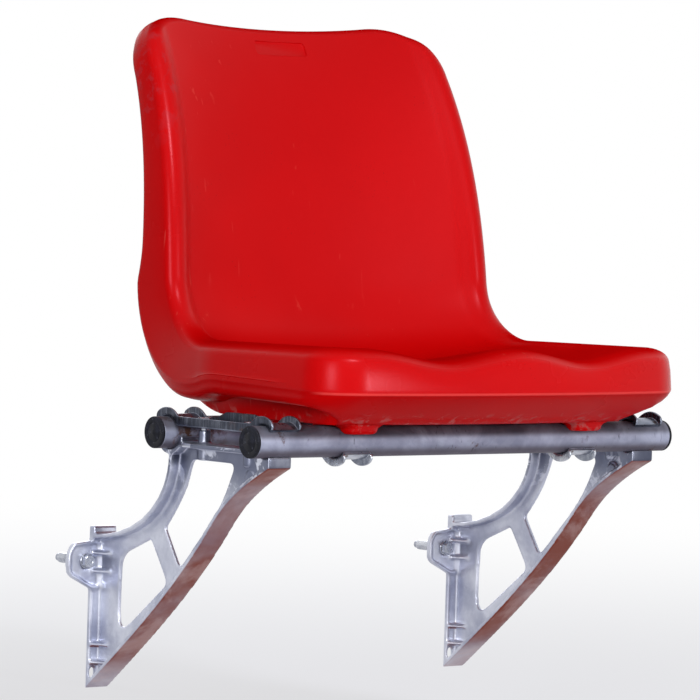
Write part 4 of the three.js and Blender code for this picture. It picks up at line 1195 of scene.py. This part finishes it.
# Camera at the photograph's view
CAMERA_PLACE = (-2.9924, -3.7359, 0.4015)
CAMERA_YAW = math.radians(39.452)
CAMERA_PITCH = math.radians(-2.198)
CAMERA_ROLL = math.radians(1.795)
CAMERA_LENS = 232.5
CAMERA_SENSOR = 36
CAMERA_NEAR = 0.1
CAMERA_FAR = 60


def photo_camera():
    """The camera, which looks along +Y until it is turned by its yaw, pitch and roll."""
    data = bpy.data.cameras.new("photo_camera")
    data.lens = CAMERA_LENS
    data.sensor_width = CAMERA_SENSOR
    data.clip_start = CAMERA_NEAR
    data.clip_end = CAMERA_FAR
    camera = new_object("photo_camera", data)
    turn = Matrix.Rotation(-CAMERA_YAW, 4, "Z") @ Matrix.Rotation(math.pi / 2 + CAMERA_PITCH, 4, "X")
    camera.matrix_world = Matrix.Translation(CAMERA_PLACE) @ turn @ Matrix.Rotation(CAMERA_ROLL, 4, "Z")
    bpy.context.scene.camera = camera


# Studio
WHITE = (1, 1, 1, 1)
WORLD_LEVEL = 0.22
FLOOR_COLOUR = (0.70, 0.71, 0.82, 1)
FLOOR_Z = -0.205
FLOOR_RADIUS = 30.0
FLOOR_STEPS = 128
FLOOR_WHITE_NEAR = 0.6
FLOOR_FADE = (0.4, 3.5)

# Lamps: place, side of the square and power in watts, all turned to the middle of the seat
LAMP_TARGET = (0, -0.2, 0.25)
LAMPS = {
    "key": ((-0.6, -3.1, 2.6), 0.5, 53),
    "corner_glint": ((0.9, -3.9, 0.55), 0.2, 30),
    "camera_fill": ((-3.1, -2.3, 0.9), 0.8, 48),
    "back_fill": ((1.6, 2.8, 1.6), 2.0, 30),
}


def shown_rays(tree):
    """1 for camera, glossy and transmission rays, and 0 for the rays that light the object."""
    path = add_node(tree, "ShaderNodeLightPath", {})
    seen = path["Is Camera Ray"]
    for name in ("Is Glossy Ray", "Is Transmission Ray"):
        seen = add_node(tree, "ShaderNodeMath", {0: seen, 1: path[name]}, operation="MAXIMUM")[0]
    return seen


def mixed_shader(tree, share, first, second, output):
    mixed = add_node(tree, "ShaderNodeMixShader", {0: share, 1: first, 2: second})[0]
    tree.links.new(mixed, output)


def studio_world():
    """An even pale surround that lights the object softly and is seen as plain white."""
    world = bpy.data.worlds.new("studio")
    bpy.context.scene.world = world
    world.use_nodes = True
    tree = world.node_tree
    tree.nodes.clear()
    output = tree.nodes.new("ShaderNodeOutputWorld")
    levels = []
    for strength in (WORLD_LEVEL, 1.0):
        levels.append(add_node(tree, "ShaderNodeBackground", {"Color": WHITE, "Strength": strength})[0])
    mixed_shader(tree, shown_rays(tree), *levels, output.inputs["Surface"])


def studio_floor():
    """A pale floor that fades into the white surround and keeps the object's shadow."""
    turns = [2 * math.pi * i / FLOOR_STEPS for i in range(FLOOR_STEPS)]
    mesh = bpy.data.meshes.new("studio_floor")
    points = [(FLOOR_RADIUS * math.cos(t), FLOOR_RADIUS * math.sin(t), FLOOR_Z) for t in turns]
    mesh.from_pydata(points, [], [tuple(range(FLOOR_STEPS))])
    floor = new_object("studio_floor", mesh)
    f = Finish("pale_floor", Base_Color=FLOOR_COLOUR, Roughness=0.9, Specular_IOR_Level=0.1)
    fade = f.product(f.between(f.distance(), *FLOOR_FADE, FLOOR_WHITE_NEAR, 1.0), shown_rays(f.tree))
    white = f.node("ShaderNodeEmission", {})[0]
    surface = f.tree.nodes["Material Output"].inputs["Surface"]
    mixed_shader(f.tree, fade, f.shader.outputs[0], white, surface)
    mesh.materials.append(f.material)


def area_lamp(name, place, size, power):
    data = bpy.data.lights.new(name, "AREA")
    data.shape = "SQUARE"
    data.size = size
    data.energy = power
    lamp = new_object(name, data)
    lamp.location = place
    lamp.rotation_mode = "QUATERNION"
    lamp.rotation_quaternion = (Vector(LAMP_TARGET) - Vector(place)).to_track_quat("-Z", "Y")


photo_camera()
studio_world()
studio_floor()
for name, (place, size, power) in LAMPS.items():
    area_lamp(name, place, size, power)
bpy.context.scene.view_settings.view_transform = "Standard"

bpy.context.view_layer.update()
